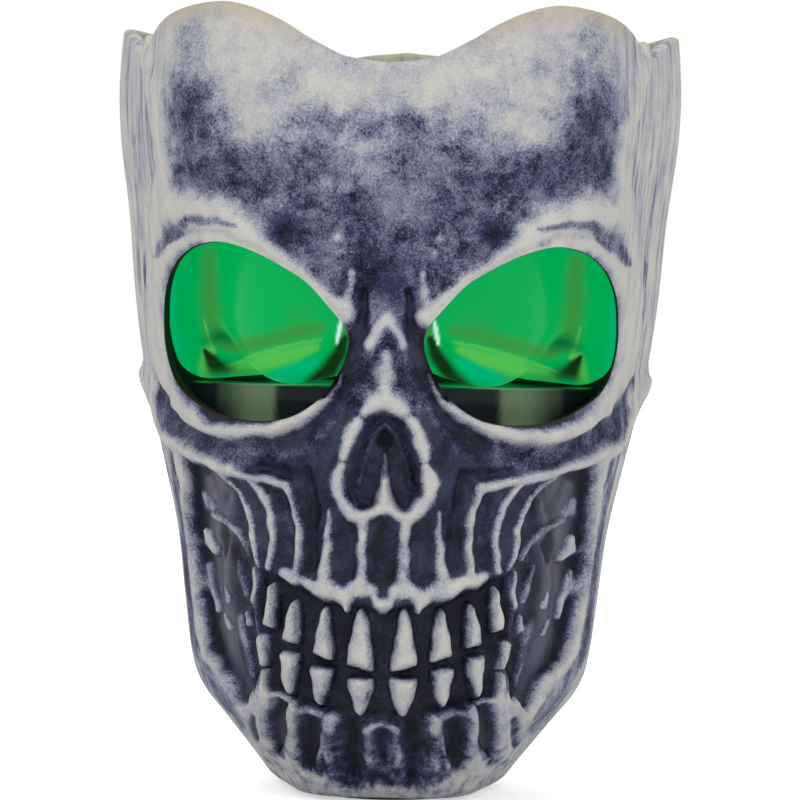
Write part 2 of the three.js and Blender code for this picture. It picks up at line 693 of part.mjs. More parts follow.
// The bottom plate, with the door's opening and its two entry notches, the switch slot and two posts
function teaBasePlate() {
  let solid = solidOf(disc(teaRadius - teaWall - teaFit, plateLow, plateTop, roundSegments));
  const postPlace = boardLength / 2 - boardPostRadius;
  [1, -1].forEach((side) => {
    const post = disc(boardPostRadius, plateTop - overrun / 2, boardLow - seatGap);
    solid = solid.add(solidOf(post.translate(side * postPlace, batteryOffset, 0)));
  });
  const opening = disc(doorRadius + teaFit, plateLow - overrun, plateTop + overrun, roundSegments);
  solid = solid.subtract(solidOf(opening.translate(0, batteryOffset, 0)));
  [0, Math.PI].forEach((turn) => {
    const notchTurn = turn + Math.PI / 2 - radians(doorTurn);
    const notch = doorTab(notchTurn, doorRadius + doorTabReach + teaFit, plateLow - overrun,
      plateTop + overrun);
    solid = solid.subtract(solidOf(notch.translate(0, batteryOffset, 0)));
  });
  const slot = block(switchLength + switchTravel + 2 * teaFit, switchWidth + 2 * teaFit,
    plateLow - overrun, plateTop + overrun);
  solid = solid.subtract(solidOf(slot.translate(switchTravel / 2, -switchOffset, 0)));
  return geometryOf(solid);
}

// The door turns in the plate. Its two tabs lie on the plate, and a coin fits its slot.
function batteryDoor() {
  const low = plateLow;
  let solid = solidOf(disc(doorRadius, low, tabLow + doorTabThickness, roundSegments));
  [0, Math.PI].forEach((turn) => {
    const tab = doorTab(turn + Math.PI / 2, doorRadius + doorTabReach, tabLow,
      tabLow + doorTabThickness);
    solid = solid.add(solidOf(tab));
  });
  const slot = block(doorRadius, doorSlotWidth, low - overrun, low + doorSlotDepth);
  return geometryOf(solid.subtract(solidOf(slot)));
}

// The switch knob fills its slot from below and is held by a flange above the plate.
function teaSwitch() {
  const knob = block(switchLength, switchWidth, plateLow, plateTop + teaFit);
  const flange = block(switchLength + 2 * switchFlange, switchWidth + 2 * switchFlange,
    plateTop + teaFit / 2, plateTop + teaFit / 2 + switchFlange);
  return geometryOf(solidOf(knob).add(solidOf(flange)));
}

// The coin cell, with the small step round its minus side
function coinCell() {
  const shoulder = batteryRadius - 2 * coinStep;
  return geometryOf(solidOf(turned([
    [0, batteryLow], [batteryRadius - coinStep, batteryLow], [batteryRadius, batteryLow + coinStep],
    [batteryRadius, batteryTop - coinStep], [shoulder, batteryTop - coinStep],
    [shoulder, batteryTop], [0, batteryTop],
  ])));
}

// The minus strip is bent down from the board to the top of the cell.
function contactMinus() {
  const high = boardLow - teaFit / 2;
  const low = batteryTop + teaFit / 2;
  const half = contactWidth;
  return geometryOf(solidOf(plate([
    [-half, high], [-half, high - contactThickness], [0, high - contactThickness],
    [half - contactThickness, low], [half + contactThickness, low],
    [half + contactThickness, low + contactThickness / 2],
    [half - contactThickness / 2, low + contactThickness], [contactThickness, high],
  ], contactWidth)));
}

// The plus strip stands beside the cell, with a foot turned in under the board.
function contactPlus() {
  const high = boardLow - teaFit / 2;
  const side = batteryRadius + teaFit;
  const foot = side + contactThickness;
  const reach = batteryOffset + contactWidth / 2 + teaFit;
  return geometryOf(solidOf(plate([
    [side, batteryLow], [foot, batteryLow], [foot, high], [reach, high],
    [reach, high - contactThickness], [side, high - contactThickness],
  ], contactWidth)));
}

function circuitBoard() {
  return geometryOf(solidOf(block(boardLength, boardWidth, boardLow, boardTop)));
}

// The diode: a flange, a round body and a domed end
function ledLamp() {
  const low = boardTop + teaFit / 2;
  const dome = low + ledHeight - ledRadius;
  const arc = Array.from({ length: domeSteps }, (_, i) => {
    const turn = (Math.PI / 2) * (i / domeSteps);
    return [ledRadius * Math.cos(turn), dome + ledRadius * Math.sin(turn)];
  });
  return geometryOf(solidOf(turned([
    [0, low], [ledRadius + ledFlange, low], [ledRadius + ledFlange, low + 2 * ledFlange],
    [ledRadius, low + 2 * ledFlange], ...arc, [0, dome + ledRadius],
  ], smallSegments)));
}

// The flame: a hollow leaf-shaped cap, open below, with a flange under the case's top. A row is
// [share of its radius, share of its height], and the hollow ends at the last row but one.
const flameShares = [[1, 0], [1, 0.2], [0.95, 0.35], [0.78, 0.55], [0.5, 0.75], [0.22, 0.92]];

function teaFlame() {
  const seat = teaHeight - teaTopDish - teaWall - teaFit;
  const low = seat - flameWall;
  const rise = flameShares.map(([share, up]) => [flameRadius * share, seat + flameHeight * up]);
  const ceiling = rise.at(-2)[1];
  const hollow = rise.slice(0, -2).map(([radius, height]) => [radius - flameWall, height - flameWall]);
  return geometryOf(solidOf(turned([
    [flameRadius - flameWall, low], [flameRadius + flameWall, low], [flameRadius + flameWall, seat],
    ...rise, [0, seat + flameHeight],
    [0, ceiling], ...hollow.reverse(), [flameRadius - flameWall, low],
  ], smallSegments)));
}

// Materials, one for each piece
function finish(color, roughness, metalness = 0, opacity = 1) {
  return new THREE.MeshStandardMaterial({
    color, roughness, metalness, opacity, transparent: opacity < 1, flatShading: true,
  });
}

function piece(name, geometry, material, group, height = 0) {
  const mesh = new THREE.Mesh(geometry, material);
  mesh.name = name;
  mesh.position.z = height;
  group.add(mesh);
  return mesh;
}

const holder = new THREE.Group();
piece('base_pad', basePad(), finish(0x15161a, 0.9), holder);
piece('skull_shell', skullShell(), finish(0xb8b5ac, 0.75), holder, skullBase);
piece('inner_stand', innerStand(), finish(0x14161c, 0.2), holder);
screwPlaces().forEach(([x, y], i) => {
  const screw = piece(`stand_screw_${i + 1}`, standScrew(), finish(0xa8a9ab, 0.3, 1), holder, skullBase);
  screw.position.x = x;
  screw.position.y = y;
});
piece('votive_liner', votiveLiner(), finish(0x00a850, 0.1, 0, 0.6), holder, linerBase);

const teaLight = new THREE.Group();
teaLight.position.z = teaBase;
holder.add(teaLight);
piece('tealight_body', teaBody(), finish(0xf2efe6, 0.5), teaLight);
piece('tealight_base', teaBasePlate(), finish(0xe9e6dc, 0.55), teaLight);
piece('tealight_battery_door', batteryDoor(), finish(0xe4e1d6, 0.5), teaLight).position.y = batteryOffset;
piece('tealight_switch', teaSwitch(), finish(0x1c1c1e, 0.5), teaLight).position.y = -switchOffset;
piece('tealight_battery', coinCell(), finish(0xc4c6c8, 0.25, 1), teaLight).position.y = batteryOffset;
piece('tealight_contact_minus', contactMinus(), finish(0xcfb877, 0.3, 1), teaLight);
const plusStrip = piece('tealight_contact_plus', contactPlus(), finish(0xcfb877, 0.3, 1), teaLight);
plusStrip.rotation.z = -Math.PI / 2;
plusStrip.position.y = batteryOffset;
piece('tealight_circuit', circuitBoard(), finish(0x1f6b3c, 0.5), teaLight).position.y = batteryOffset / 2;
piece('tealight_led', ledLamp(), finish(0xf4e2b0, 0.15, 0, 0.8), teaLight);
piece('tealight_flame', teaFlame(), finish(0xffc873, 0.35, 0, 0.8), teaLight);

export default holder;
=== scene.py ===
"""Skull votive holder: a painted plastic skull cup, a green cup standing inside it on a dark stand,
and a battery tea light in the green cup. Metres, +Z up, the face looks along -Y."""
import math

import bpy
import numpy as np
from mathutils import Matrix, Vector


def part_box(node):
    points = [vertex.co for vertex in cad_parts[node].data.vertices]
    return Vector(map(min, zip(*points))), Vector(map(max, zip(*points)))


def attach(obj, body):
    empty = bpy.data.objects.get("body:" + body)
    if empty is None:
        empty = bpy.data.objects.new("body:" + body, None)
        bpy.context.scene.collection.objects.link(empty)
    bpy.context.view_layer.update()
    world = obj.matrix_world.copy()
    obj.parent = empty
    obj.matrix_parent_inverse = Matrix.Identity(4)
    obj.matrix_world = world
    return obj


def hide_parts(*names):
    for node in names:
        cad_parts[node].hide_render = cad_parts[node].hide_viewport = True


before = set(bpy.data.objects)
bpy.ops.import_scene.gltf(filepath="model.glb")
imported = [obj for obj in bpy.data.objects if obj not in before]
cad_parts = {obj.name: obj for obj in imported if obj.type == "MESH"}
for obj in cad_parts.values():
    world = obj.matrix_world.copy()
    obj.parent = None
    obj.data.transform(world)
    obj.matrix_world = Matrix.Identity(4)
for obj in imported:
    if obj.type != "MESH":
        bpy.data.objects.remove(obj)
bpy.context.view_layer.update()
MM = 0.001


# Camera
# The holder was seen from a little to its right and a little above its middle, from close by.
# The camera stands at that place, turned by the same small tilt.
VIEW_DISTANCE = 424 * MM
VIEW_HEIGHT = 67 * MM
VIEW_TURN = math.radians(1.8)
VIEW_TILT = math.radians(1.0)
AIM_HEIGHT = 55.0 * MM
AIM_OFFSET = 0.94 * MM
SENSOR_WIDTH = 36
LENS_LENGTH = 134.6
CLIP_START = 10 * MM
CLIP_END = 20

camera = bpy.data.objects.new("camera", bpy.data.cameras.new("camera"))
camera.data.sensor_width = SENSOR_WIDTH
camera.data.lens = LENS_LENGTH
camera.data.clip_start = CLIP_START
camera.data.clip_end = CLIP_END
toward_view = Vector((math.sin(VIEW_TURN), -math.cos(VIEW_TURN), 0))
across_view = Vector((math.cos(VIEW_TURN), math.sin(VIEW_TURN), 0))
camera.location = toward_view * VIEW_DISTANCE + Vector((0, 0, VIEW_HEIGHT))
aim = across_view * AIM_OFFSET + Vector((0, 0, AIM_HEIGHT))
look = (aim - camera.location).to_track_quat("-Z", "Y").to_matrix().to_4x4()
camera.matrix_world = Matrix.Translation(camera.location) @ look @ Matrix.Rotation(VIEW_TILT, 4, "Z")
bpy.context.scene.collection.objects.link(camera)
bpy.context.scene.camera = camera
bpy.context.scene.view_settings.view_transform = "Standard"


# Floor and light
# A plain white table sheet under plain soft light: a large soft lamp at the upper left of the
# face, weaker ones at the right and behind, and an even white surround.
FLOOR_SIZE = 8.0
FLOOR_WHITE = (0.87, 0.87, 0.87, 1)
FLOOR_BRIGHT = (0.9, 0.9, 0.9, 1)
PAPER_GRAIN = 300.0
FLOOR_LIFT = 0.5
FADE_REACH = (0.15, 0.7)
SURROUND_LIGHT = 0.6
SURROUND_SEEN = 1.0
# Lamps: name, place, size and power
LAMPS = [
    ("key_lamp", (-0.55, -0.95, 0.95), 0.7, 6.0),
    ("fill_lamp", (0.85, -0.75, 0.45), 0.7, 2.9),
    ("back_lamp", (0.15, 0.9, 0.9), 0.6, 2.5),
]


def node(tree, kind, inputs=None, **settings):
    """Adds a shader node, joins or sets its inputs, and gives its outputs."""
    made = tree.nodes.new(kind)
    for key, value in settings.items():
        setattr(made, key, value)
    for socket, source in (inputs or {}).items():
        if isinstance(source, bpy.types.NodeSocket):
            tree.links.new(source, made.inputs[socket])
        else:
            made.inputs[socket].default_value = source
    return made.outputs


def arithmetic(tree, operation, first, second):
    return node(tree, "ShaderNodeMath", {0: first, 1: second}, operation=operation)[0]


def where_seen(tree, unseen, seen):
    """One shader for light that falls on things, another where it is seen or mirrored."""
    path = node(tree, "ShaderNodeLightPath")
    looked_at = arithmetic(tree, "MAXIMUM", path["Is Camera Ray"], path["Is Glossy Ray"])
    looked_at = arithmetic(tree, "MAXIMUM", looked_at, path["Is Transmission Ray"])
    return node(tree, "ShaderNodeMixShader", {0: looked_at, 1: unseen, 2: seen})[0]


def glow(tree, strength):
    return node(tree, "ShaderNodeEmission", {"Strength": strength})[0]


world = bpy.data.worlds.new("surround")
world.use_nodes = True
bpy.context.scene.world = world
sky = world.node_tree
sky.nodes.clear()
sky_shader = where_seen(sky, glow(sky, SURROUND_LIGHT), glow(sky, SURROUND_SEEN))
node(sky, "ShaderNodeOutputWorld", {"Surface": sky_shader})

for lamp_name, lamp_place, lamp_size, lamp_power in LAMPS:
    lamp = bpy.data.objects.new(lamp_name, bpy.data.lights.new(lamp_name, "AREA"))
    lamp.data.size = lamp_size
    lamp.data.energy = lamp_power
    lamp.location = lamp_place
    lamp.rotation_euler = (Vector((0, 0, AIM_HEIGHT)) - lamp.location).to_track_quat("-Z", "Y").to_euler()
    bpy.context.scene.collection.objects.link(lamp)

half_floor = FLOOR_SIZE / 2
floor_sheet = bpy.data.meshes.new("floor")
floor_sheet.from_pydata(
    [(-half_floor, -half_floor, 0), (half_floor, -half_floor, 0),
     (half_floor, half_floor, 0), (-half_floor, half_floor, 0)],
    [], [(0, 1, 2, 3)])
floor = bpy.data.objects.new("floor", floor_sheet)
bpy.context.scene.collection.objects.link(floor)
floor_finish = bpy.data.materials.new("floor_finish")
floor_finish.use_nodes = True
paper = floor_finish.node_tree
paper.nodes.clear()
paper_grain = node(paper, "ShaderNodeTexNoise", {"Scale": PAPER_GRAIN, "Detail": 2.0})["Fac"]
paper_white = node(paper, "ShaderNodeMix", {0: paper_grain, 6: FLOOR_WHITE, 7: FLOOR_BRIGHT},
                   data_type="RGBA")[2]
matt = node(paper, "ShaderNodeBsdfDiffuse", {"Color": paper_white})[0]
from_middle = node(paper, "ShaderNodeVectorMath", {0: node(paper, "ShaderNodeTexCoord")["Object"]},
                   operation="LENGTH")["Value"]
far_lift = node(paper, "ShaderNodeMapRange", {
    "Value": from_middle, "From Min": FADE_REACH[0], "From Max": FADE_REACH[1],
    "To Min": FLOOR_LIFT, "To Max": SURROUND_SEEN}, interpolation_type="SMOOTHSTEP")[0]
lift = where_seen(paper, glow(paper, 0.0), glow(paper, far_lift))
paper_shader = node(paper, "ShaderNodeAddShader", {0: matt, 1: lift})[0]
node(paper, "ShaderNodeOutputMaterial", {"Surface": paper_shader})
floor.data.materials.append(floor_finish)


# Base pad
# A thin disc of black foam rubber glued under the chin, which keeps the holder from sliding and
# covers the screws. Its lower edge is a little rounded.
PAD_COLOUR = (0.016, 0.016, 0.019, 1)
PAD_PORE_COLOUR = (0.035, 0.035, 0.04, 1)
PAD_EDGE = 0.4 * MM
FINE_TURN = 128
SHARP_EDGE = math.radians(35)


def finish(name):
    """A new material with its tree and its shader."""
    material = bpy.data.materials.new(name)
    material.use_nodes = True
    return material, material.node_tree, material.node_tree.nodes["Principled BSDF"]


def feed(tree, shader, **inputs):
    """Joins or sets inputs of a shader. An underscore in a name stands for a space."""
    for name, source in inputs.items():
        socket = shader.inputs[name.replace("_", " ")]
        if isinstance(source, bpy.types.NodeSocket):
            tree.links.new(source, socket)
        else:
            socket.default_value = source


def speckle(tree, scale, detail=2.0, roughness=0.5, distortion=0.0, stretch=(1, 1, 1)):
    """Noise fixed to the piece, from 0 to 1, with its scale in marks per metre."""
    place = node(tree, "ShaderNodeTexCoord")["Object"]
    stretched = node(tree, "ShaderNodeMapping", {"Vector": place, "Scale": stretch})[0]
    return node(tree, "ShaderNodeTexNoise", {
        "Vector": stretched, "Scale": scale, "Detail": detail, "Roughness": roughness,
        "Distortion": distortion})["Fac"]


def spread(tree, value, low, high, to_low=0.0, to_high=1.0):
    """Turns a value's range from low to high smoothly into another range."""
    return node(tree, "ShaderNodeMapRange", {
        "Value": value, "From Min": low, "From Max": high, "To Min": to_low, "To Max": to_high},
        interpolation_type="SMOOTHSTEP")[0]


def mixed(tree, share, first, second):
    return node(tree, "ShaderNodeMix", {0: share, 6: first, 7: second}, data_type="RGBA")[2]


def weighted(tree, total, *pairs):
    """Adds values to a total, each times its weight."""
    for value, weight in pairs:
        total = node(tree, "ShaderNodeMath", {0: value, 1: weight, 2: total}, operation="MULTIPLY_ADD")[0]
    return total


def bumped(tree, height, distance):
    return node(tree, "ShaderNodeBump", {"Height": height, "Distance": distance})[0]


def solid_piece(name, points, faces):
    """An object with a closed mesh, made from points in metres."""
    mesh = bpy.data.meshes.new(name)
    mesh.from_pydata([tuple(point) for point in points], [], [tuple(face) for face in faces])
    made = bpy.data.objects.new(name, mesh)
    bpy.context.scene.collection.objects.link(made)
    return made


def seat(piece, material, body, replaced, sharp=SHARP_EDGE):
    """Smooths a piece, gives it its finish and puts it in the place of its CAD node."""
    piece.data.materials.clear()
    piece.data.materials.append(material)
    piece.data.shade_smooth()
    piece.data.set_sharp_from_angle(angle=sharp)
    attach(piece, body)
    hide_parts(replaced)


def ring_faces(rings, count, first=0):
    """Faces between rings of points that run anticlockwise, from one ring up to the next."""
    at = first + np.arange(rings * count).reshape(rings, count)
    after = np.roll(at, -1, axis=1)
    quads = np.stack([at[:-1], after[:-1], after[1:], at[1:]], axis=-1)
    return quads.reshape(-1, 4).tolist()


def ring_skin(rings, first_centre, last_centre):
    """Points and faces of a closed skin over a stack of rings, from one centre point to another."""
    count = rings.shape[1]
    points = np.concatenate([[first_centre], rings.reshape(-1, 3), [last_centre]])
    faces = ring_faces(rings.shape[0], count, 1)
    top = 1 + (rings.shape[0] - 1) * count
    for i in range(count):
        j = (i + 1) % count
        faces.append((0, 1 + j, 1 + i))
        faces.append((top + i, top + j, len(points) - 1))
    return points, faces


def around(turns, radius, height):
    """A ring of points. Turns are counted from the face's middle."""
    return np.stack([radius * np.sin(turns), -radius * np.cos(turns), height + 0 * turns], axis=-1)


def full_turn(count=FINE_TURN):
    return np.linspace(0, 2 * math.pi, count, endpoint=False)


def turned(profile, count=FINE_TURN, centre=(0, 0)):
    """Points and faces of a turned piece whose profile starts and ends on the axis."""
    rings = np.array([around(full_turn(count), radius, height) for radius, height in profile[1:-1]])
    points, faces = ring_skin(rings, (0, 0, profile[0][1]), (0, 0, profile[-1][1]))
    return points + np.array([*centre, 0]), faces


def rounded(corners, steps=5):
    """A profile with its corners rounded. Each corner is (radius, height, size of the round)."""
    path = []
    for k, (radius, height, size) in enumerate(corners):
        corner = Vector((radius, height))
        if size == 0 or k in (0, len(corners) - 1):
            path.append((radius, height))
            continue
        before = Vector(corners[k - 1][:2]) - corner
        after = Vector(corners[k + 1][:2]) - corner
        start = corner + before.normalized() * min(size, before.length / 2)
        end = corner + after.normalized() * min(size, after.length / 2)
        for step in range(steps + 1):
            t = step / steps
            path.append(tuple(start * (1 - t) ** 2 + corner * 2 * t * (1 - t) + end * t * t))
    return path


pad_low, pad_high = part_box("base_pad")
pad_finish, foam, pad_shader = finish("foam_rubber")
cells = speckle(foam, 2200, 3.0, 0.7)
feed(foam, pad_shader,
     Base_Color=mixed(foam, spread(foam, cells, 0.35, 0.7), PAD_COLOUR, PAD_PORE_COLOUR),
     Roughness=0.9, Normal=bumped(foam, cells, 0.15 * MM))
pad = solid_piece("pad", *turned(rounded([
    (0, pad_low.z, 0), (pad_high.x, pad_low.z, PAD_EDGE), (pad_high.x, pad_high.z, PAD_EDGE / 3),
    (0, pad_high.z, 0)])))
seat(pad, pad_finish, "skull", "base_pad")


# Skull shell
# One moulded cup of dark purple plastic with five soft lobes. The face is moulded in relief, the
# two eyes are cut through the wall, and bone paint is dry-brushed and sponged over what stands proud.
shell_low, shell_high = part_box("skull_shell")
SKULL_HEIGHT = shell_high.z - shell_low.z
TOP_RADIUS = 39.34 * MM
SHELL_WALL = 3.6 * MM
UPPER_WALL = 2 * MM
FLOOR_THICKNESS = 3.8 * MM
RIM_DROP = 8 * MM
LIP_ROUND = 0.8 * MM
MUZZLE_RISE = 2.4 * MM
MUZZLE_TURN = math.radians(30)
LOBE_COUNT = 5
LOBE_DEPTH_SHARE = 0.05
SHEET_WIDTH = 114 * MM
SHEET_TURN = math.radians(80)
BROW_TURN = math.radians(34)
FACE_STEP = 0.3 * MM
BACK_STEP = 1.1 * MM
INSIDE_STEP = 1.2 * MM
LIP_STEPS = 6
FACE_TURN = math.radians(78)
SKULL_SHARP_EDGE = math.radians(50)
CLOSING_ROUNDS = 12
# Shares of the height between which the muzzle starts, the muzzle fades out and the wall thins
MUZZLE_START_SHARES = (0, 0.12)
MUZZLE_FADE_SHARES = (0.4, 0.58)
WALL_FADE_SHARES = (0.49, 0.56)

# The plain body: [share of the height, share of the top radius]
BODY_SHARES = [
    (0, 0.4), (0.028, 0.457), (0.084, 0.579), (0.121, 0.66), (0.155, 0.7), (0.23, 0.731),
    (0.33, 0.764), (0.42, 0.817), (0.53, 0.886), (0.635, 0.929), (0.75, 0.957), (0.85, 0.992),
    (0.92, 1), (1, 0.988),
]
# The scalloped rim: [degrees from the face's middle, share of the rim drop]
RIM_SHARES = [
    (0, 1), (9, 0.9), (13, 0.75), (17, 0.57), (21, 0.36), (26, 0.16), (30, 0.05), (34, 0), (41, 0.03),
    (47, 0.09), (52, 0.17), (57, 0.29), (61, 0.45), (64, 0.6), (68, 0.34), (72, 0.62), (78, 0.42),
    (90, 0.13), (105, 0), (118, 0.1), (132, 0.6), (144, 0.9), (156, 0.6), (168, 0.15), (180, 0),
]


def smooth_ramp(low, high, value):
    t = np.clip((value - low) / (high - low), 0, 1)
    return t * t * (3 - 2 * t)


def curve_through(table, place):
    """Reads a smooth curve through rows of [place, value]."""
    xs, ys = np.array(table, float).T
    slopes = np.empty(len(xs))
    slopes[1:-1] = (ys[2:] - ys[:-2]) / (xs[2:] - xs[:-2])
    slopes[0] = (ys[1] - ys[0]) / (xs[1] - xs[0])
    slopes[-1] = (ys[-1] - ys[-2]) / (xs[-1] - xs[-2])
    place = np.clip(place, xs[0], xs[-1])
    k = np.clip(np.searchsorted(xs, place) - 1, 0, len(xs) - 2)
    span = xs[k + 1] - xs[k]
    t = (place - xs[k]) / span
    from_start = (1 + 2 * t) * (1 - t) ** 2 * ys[k] + t * (1 - t) ** 2 * span * slopes[k]
    return from_start + t * t * (3 - 2 * t) * ys[k + 1] + t * t * (t - 1) * span * slopes[k + 1]


def lobe(turn, count=LOBE_COUNT):
    """From -1 in a valley to 1 on a lobe, with a valley in the face's middle."""
    return -np.cos(count * turn)


def body_radius(turn, height):
    """Radius of the plain body at a turn from the face's middle, before the face is carved."""
    share = np.clip(height / SKULL_HEIGHT, 0, 1)
    plain = TOP_RADIUS * curve_through(BODY_SHARES, share) * (1 + LOBE_DEPTH_SHARE * lobe(turn))
    up = smooth_ramp(*MUZZLE_START_SHARES, share) * (1 - smooth_ramp(*MUZZLE_FADE_SHARES, share))
    return plain + MUZZLE_RISE * np.exp(-((turn / MUZZLE_TURN) ** 2)) * up


def wall_at(height):
    """The wall is thick behind the jaws and thinner from the eyes upwards."""
    return SHELL_WALL + (UPPER_WALL - SHELL_WALL) * smooth_ramp(*WALL_FADE_SHARES, height / SKULL_HEIGHT)


def rim_height(turn):
    drop = np.maximum(curve_through(RIM_SHARES, np.degrees(np.abs(turn))), 0)
    return SKULL_HEIGHT - RIM_DROP * drop


def sheet_point(x, y, height):
    """Where a point of the skull lies on an upright sheet through its axis, as the camera sees it."""
    nearness = VIEW_DISTANCE / (VIEW_DISTANCE + y)
    return x * nearness, VIEW_HEIGHT + (height - VIEW_HEIGHT) * nearness


chin_front = TOP_RADIUS * BODY_SHARES[0][1]
sheet_low = sheet_point(0, -chin_front, 0)[1]
brow_reach = body_radius(BROW_TURN, SKULL_HEIGHT) * math.cos(BROW_TURN)
sheet_high = sheet_point(0, -brow_reach, SKULL_HEIGHT)[1]


def sheet_place(turn, height):
    """Signed share across from the face's middle, and share up from the chin."""
    held = np.minimum(np.abs(turn), SHEET_TURN)
    radius = body_radius(held, height)
    across, up = sheet_point(radius * np.sin(held), -radius * np.cos(held), height)
    across = across + (np.abs(turn) - held) * radius
    return np.sign(turn) * across / SHEET_WIDTH, (up - sheet_low) / (sheet_high - sheet_low)


def body_point(across_share, up_share):
    """The point of the plain body that stands at a place on the sheet, found by closing in on it."""
    across = across_share * SHEET_WIDTH
    up = sheet_low + up_share * (sheet_high - sheet_low)
    y = -TOP_RADIUS
    for _ in range(CLOSING_ROUNDS):
        nearness = VIEW_DISTANCE / (VIEW_DISTANCE + y)
        x = across / nearness
        height = VIEW_HEIGHT + (up - VIEW_HEIGHT) / nearness
        turn = math.asin(min(x / body_radius(math.asin(min(x / TOP_RADIUS, 1)), height), 1))
        y = -body_radius(turn, height) * math.cos(turn)
    return x, y, height


def smooth_loop(outline, steps):
    """A closed smooth curve through an outline's points."""
    points = np.array(outline, float)
    before, after, beyond = (np.roll(points, shift, axis=0) for shift in (1, -1, -2))
    t = (np.arange(steps) / steps)[:, None, None]
    curve = 0.5 * (2 * points + t * (after - before)
                   + t ** 2 * (2 * before - 5 * points + 4 * after - beyond)
                   + t ** 3 * (3 * points - before - 3 * after + beyond))
    return curve.transpose(1, 0, 2).reshape(-1, 2)


# The eye's outline, on the sheet: [across, up]
EYE_SHARES = [
    (0.047, 0.572), (0.052, 0.594), (0.072, 0.619), (0.1, 0.649), (0.135, 0.671), (0.17, 0.688),
    (0.207, 0.698), (0.24, 0.693), (0.265, 0.674), (0.28, 0.642), (0.284, 0.6), (0.281, 0.56),
    (0.268, 0.522), (0.245, 0.499), (0.21, 0.48), (0.17, 0.473), (0.13, 0.476), (0.1, 0.489),
    (0.075, 0.511), (0.057, 0.54),
]
EYE_STEPS = 5
eye_loop = smooth_loop(EYE_SHARES, EYE_STEPS)
# Its lower inner stretch and its upper one, which two of the marks follow
eye_lower_inner = [*eye_loop[68:], *eye_loop[:3]]
eye_upper = eye_loop[7:33]

# Marks of the face, in the order in which they are worked. Each draws the surface towards its own
# level in millimetres, the paint towards its share of bone, and the gloss towards its share. A mark
# with None for one of these leaves it as it is. A patch has the width of its soft edge and then an
# outline, and a line has rows of [across, up, half width]. All are mirrored.
BRUSH_EDGE_SHARES = (0.25, 1.6)
SWELL_EDGE_SHARES = (0.2, 1.6)
marks = []


def patch(level, bone, gloss, edge, *outline):
    marks.append(("patch", (level, bone, gloss), edge, np.array(outline)))


def line(level, bone, gloss, *rows):
    """A row without a half width keeps that of the row before it."""
    full_rows = [rows[0]]
    for row in rows[1:]:
        full_rows.append(row if len(row) == 3 else (*row, full_rows[-1][2]))
    marks.append(("line", (level, bone, gloss), None, np.array(full_rows)))


# Upper jaw's front, bare and glossy between the cheek bone and the nose
patch(None, 0.12, 0.7, 0.014, (0.05, 0.49), (0.085, 0.44), (0.14, 0.42), (0.195, 0.41), (0.186, 0.37),
      (0.174, 0.33), (0.166, 0.29), (0.13, 0.28), (0.1, 0.262), (0.05, 0.25), (-0.06, 0.25),
      (-0.06, 0.49))
# Bone edge of the jaw's upright branch, and the bluish hollow outside its lower end
line(0.3, 0.86, 0.0, (0.266, 0.44, 0.0065), (0.2595, 0.4, 0.0045), (0.2585, 0.375), (0.2573, 0.35),
     (0.2548, 0.325), (0.251, 0.3), (0.247, 0.275), (0.2435, 0.25), (0.2392, 0.225, 0.0048),
     (0.2335, 0.2, 0.005), (0.2228, 0.175, 0.0052), (0.2025, 0.15, 0.0055), (0.194, 0.137, 0.006),
     (0.1852, 0.122, 0.0062), (0.179, 0.108, 0.006))
line(None, 0.62, 0.0, (0.273, 0.4, 0.005), (0.266, 0.33), (0.258, 0.28), (0.2515, 0.25),
     (0.2434, 0.2, 0.0055))
line(None, 0.42, 0.0, (0.243, 0.195, 0.003), (0.2365, 0.16, 0.009), (0.2105, 0.13, 0.0105),
     (0.192, 0.108, 0.008), (0.182, 0.09, 0.005))
# Cheek hollow with its steep outer wall, bare plastic darkened to black by painted shade, and the
# lumps of muscle and back teeth in it
patch(-2.0, 0.02, 0.3, 0.002, (0.254, 0.43), (0.2547, 0.4), (0.254, 0.375), (0.2528, 0.35),
      (0.2504, 0.325), (0.2467, 0.3), (0.2425, 0.275), (0.2389, 0.25), (0.2348, 0.225), (0.2288, 0.2),
      (0.218, 0.175), (0.2086, 0.163), (0.1978, 0.15), (0.1905, 0.139), (0.181, 0.122), (0.172, 0.13),
      (0.19, 0.16), (0.205, 0.2), (0.215, 0.25), (0.225, 0.3), (0.23, 0.35), (0.232, 0.41))
patch(-2.6, 0.1, 0.8, 0.008, (0.236, 0.415), (0.24, 0.38), (0.24, 0.33), (0.234, 0.28), (0.226, 0.24),
      (0.216, 0.2), (0.198, 0.168), (0.18, 0.14), (0.166, 0.13), (0.158, 0.17), (0.165, 0.21),
      (0.172, 0.25), (0.166, 0.3), (0.172, 0.34), (0.184, 0.38), (0.205, 0.403))
line(-2.2, 0.18, 0.8, (0.241, 0.4, 0.005), (0.23, 0.36, 0.014), (0.2265, 0.33, 0.012))
line(-1.9, 0.16, 0.7, (0.2015, 0.375, 0.008), (0.209, 0.33, 0.01), (0.212, 0.28, 0.012),
     (0.207, 0.22, 0.016), (0.191, 0.16, 0.014), (0.18, 0.125, 0.008))
line(-1.7, 0.36, 0.4, (0.194, 0.225, 0.004), (0.1855, 0.19, 0.005), (0.175, 0.15, 0.004))
line(-2.4, 0.02, 0.3, (0.22, 0.345, 0.004), (0.2155, 0.325, 0.009), (0.2165, 0.305, 0.005))
line(-1.8, 0.46, 0.3, (0.247, 0.381, 0.004), (0.2405, 0.368, 0.0075), (0.234, 0.364, 0.0045))
line(-1.6, 0.5, 0.3, (0.232, 0.3555, 0.003), (0.2085, 0.3425, 0.004), (0.191, 0.325, 0.0045),
     (0.181, 0.306, 0.0035))
line(-1.5, 0.86, 0.1, (0.2435, 0.335, 0.0035), (0.24, 0.32, 0.007), (0.2305, 0.308, 0.0045))
line(-1.6, 0.62, 0.2, (0.2405, 0.292, 0.003), (0.238, 0.27, 0.0048), (0.231, 0.248, 0.003),
     (0.2275, 0.234, 0.0035))
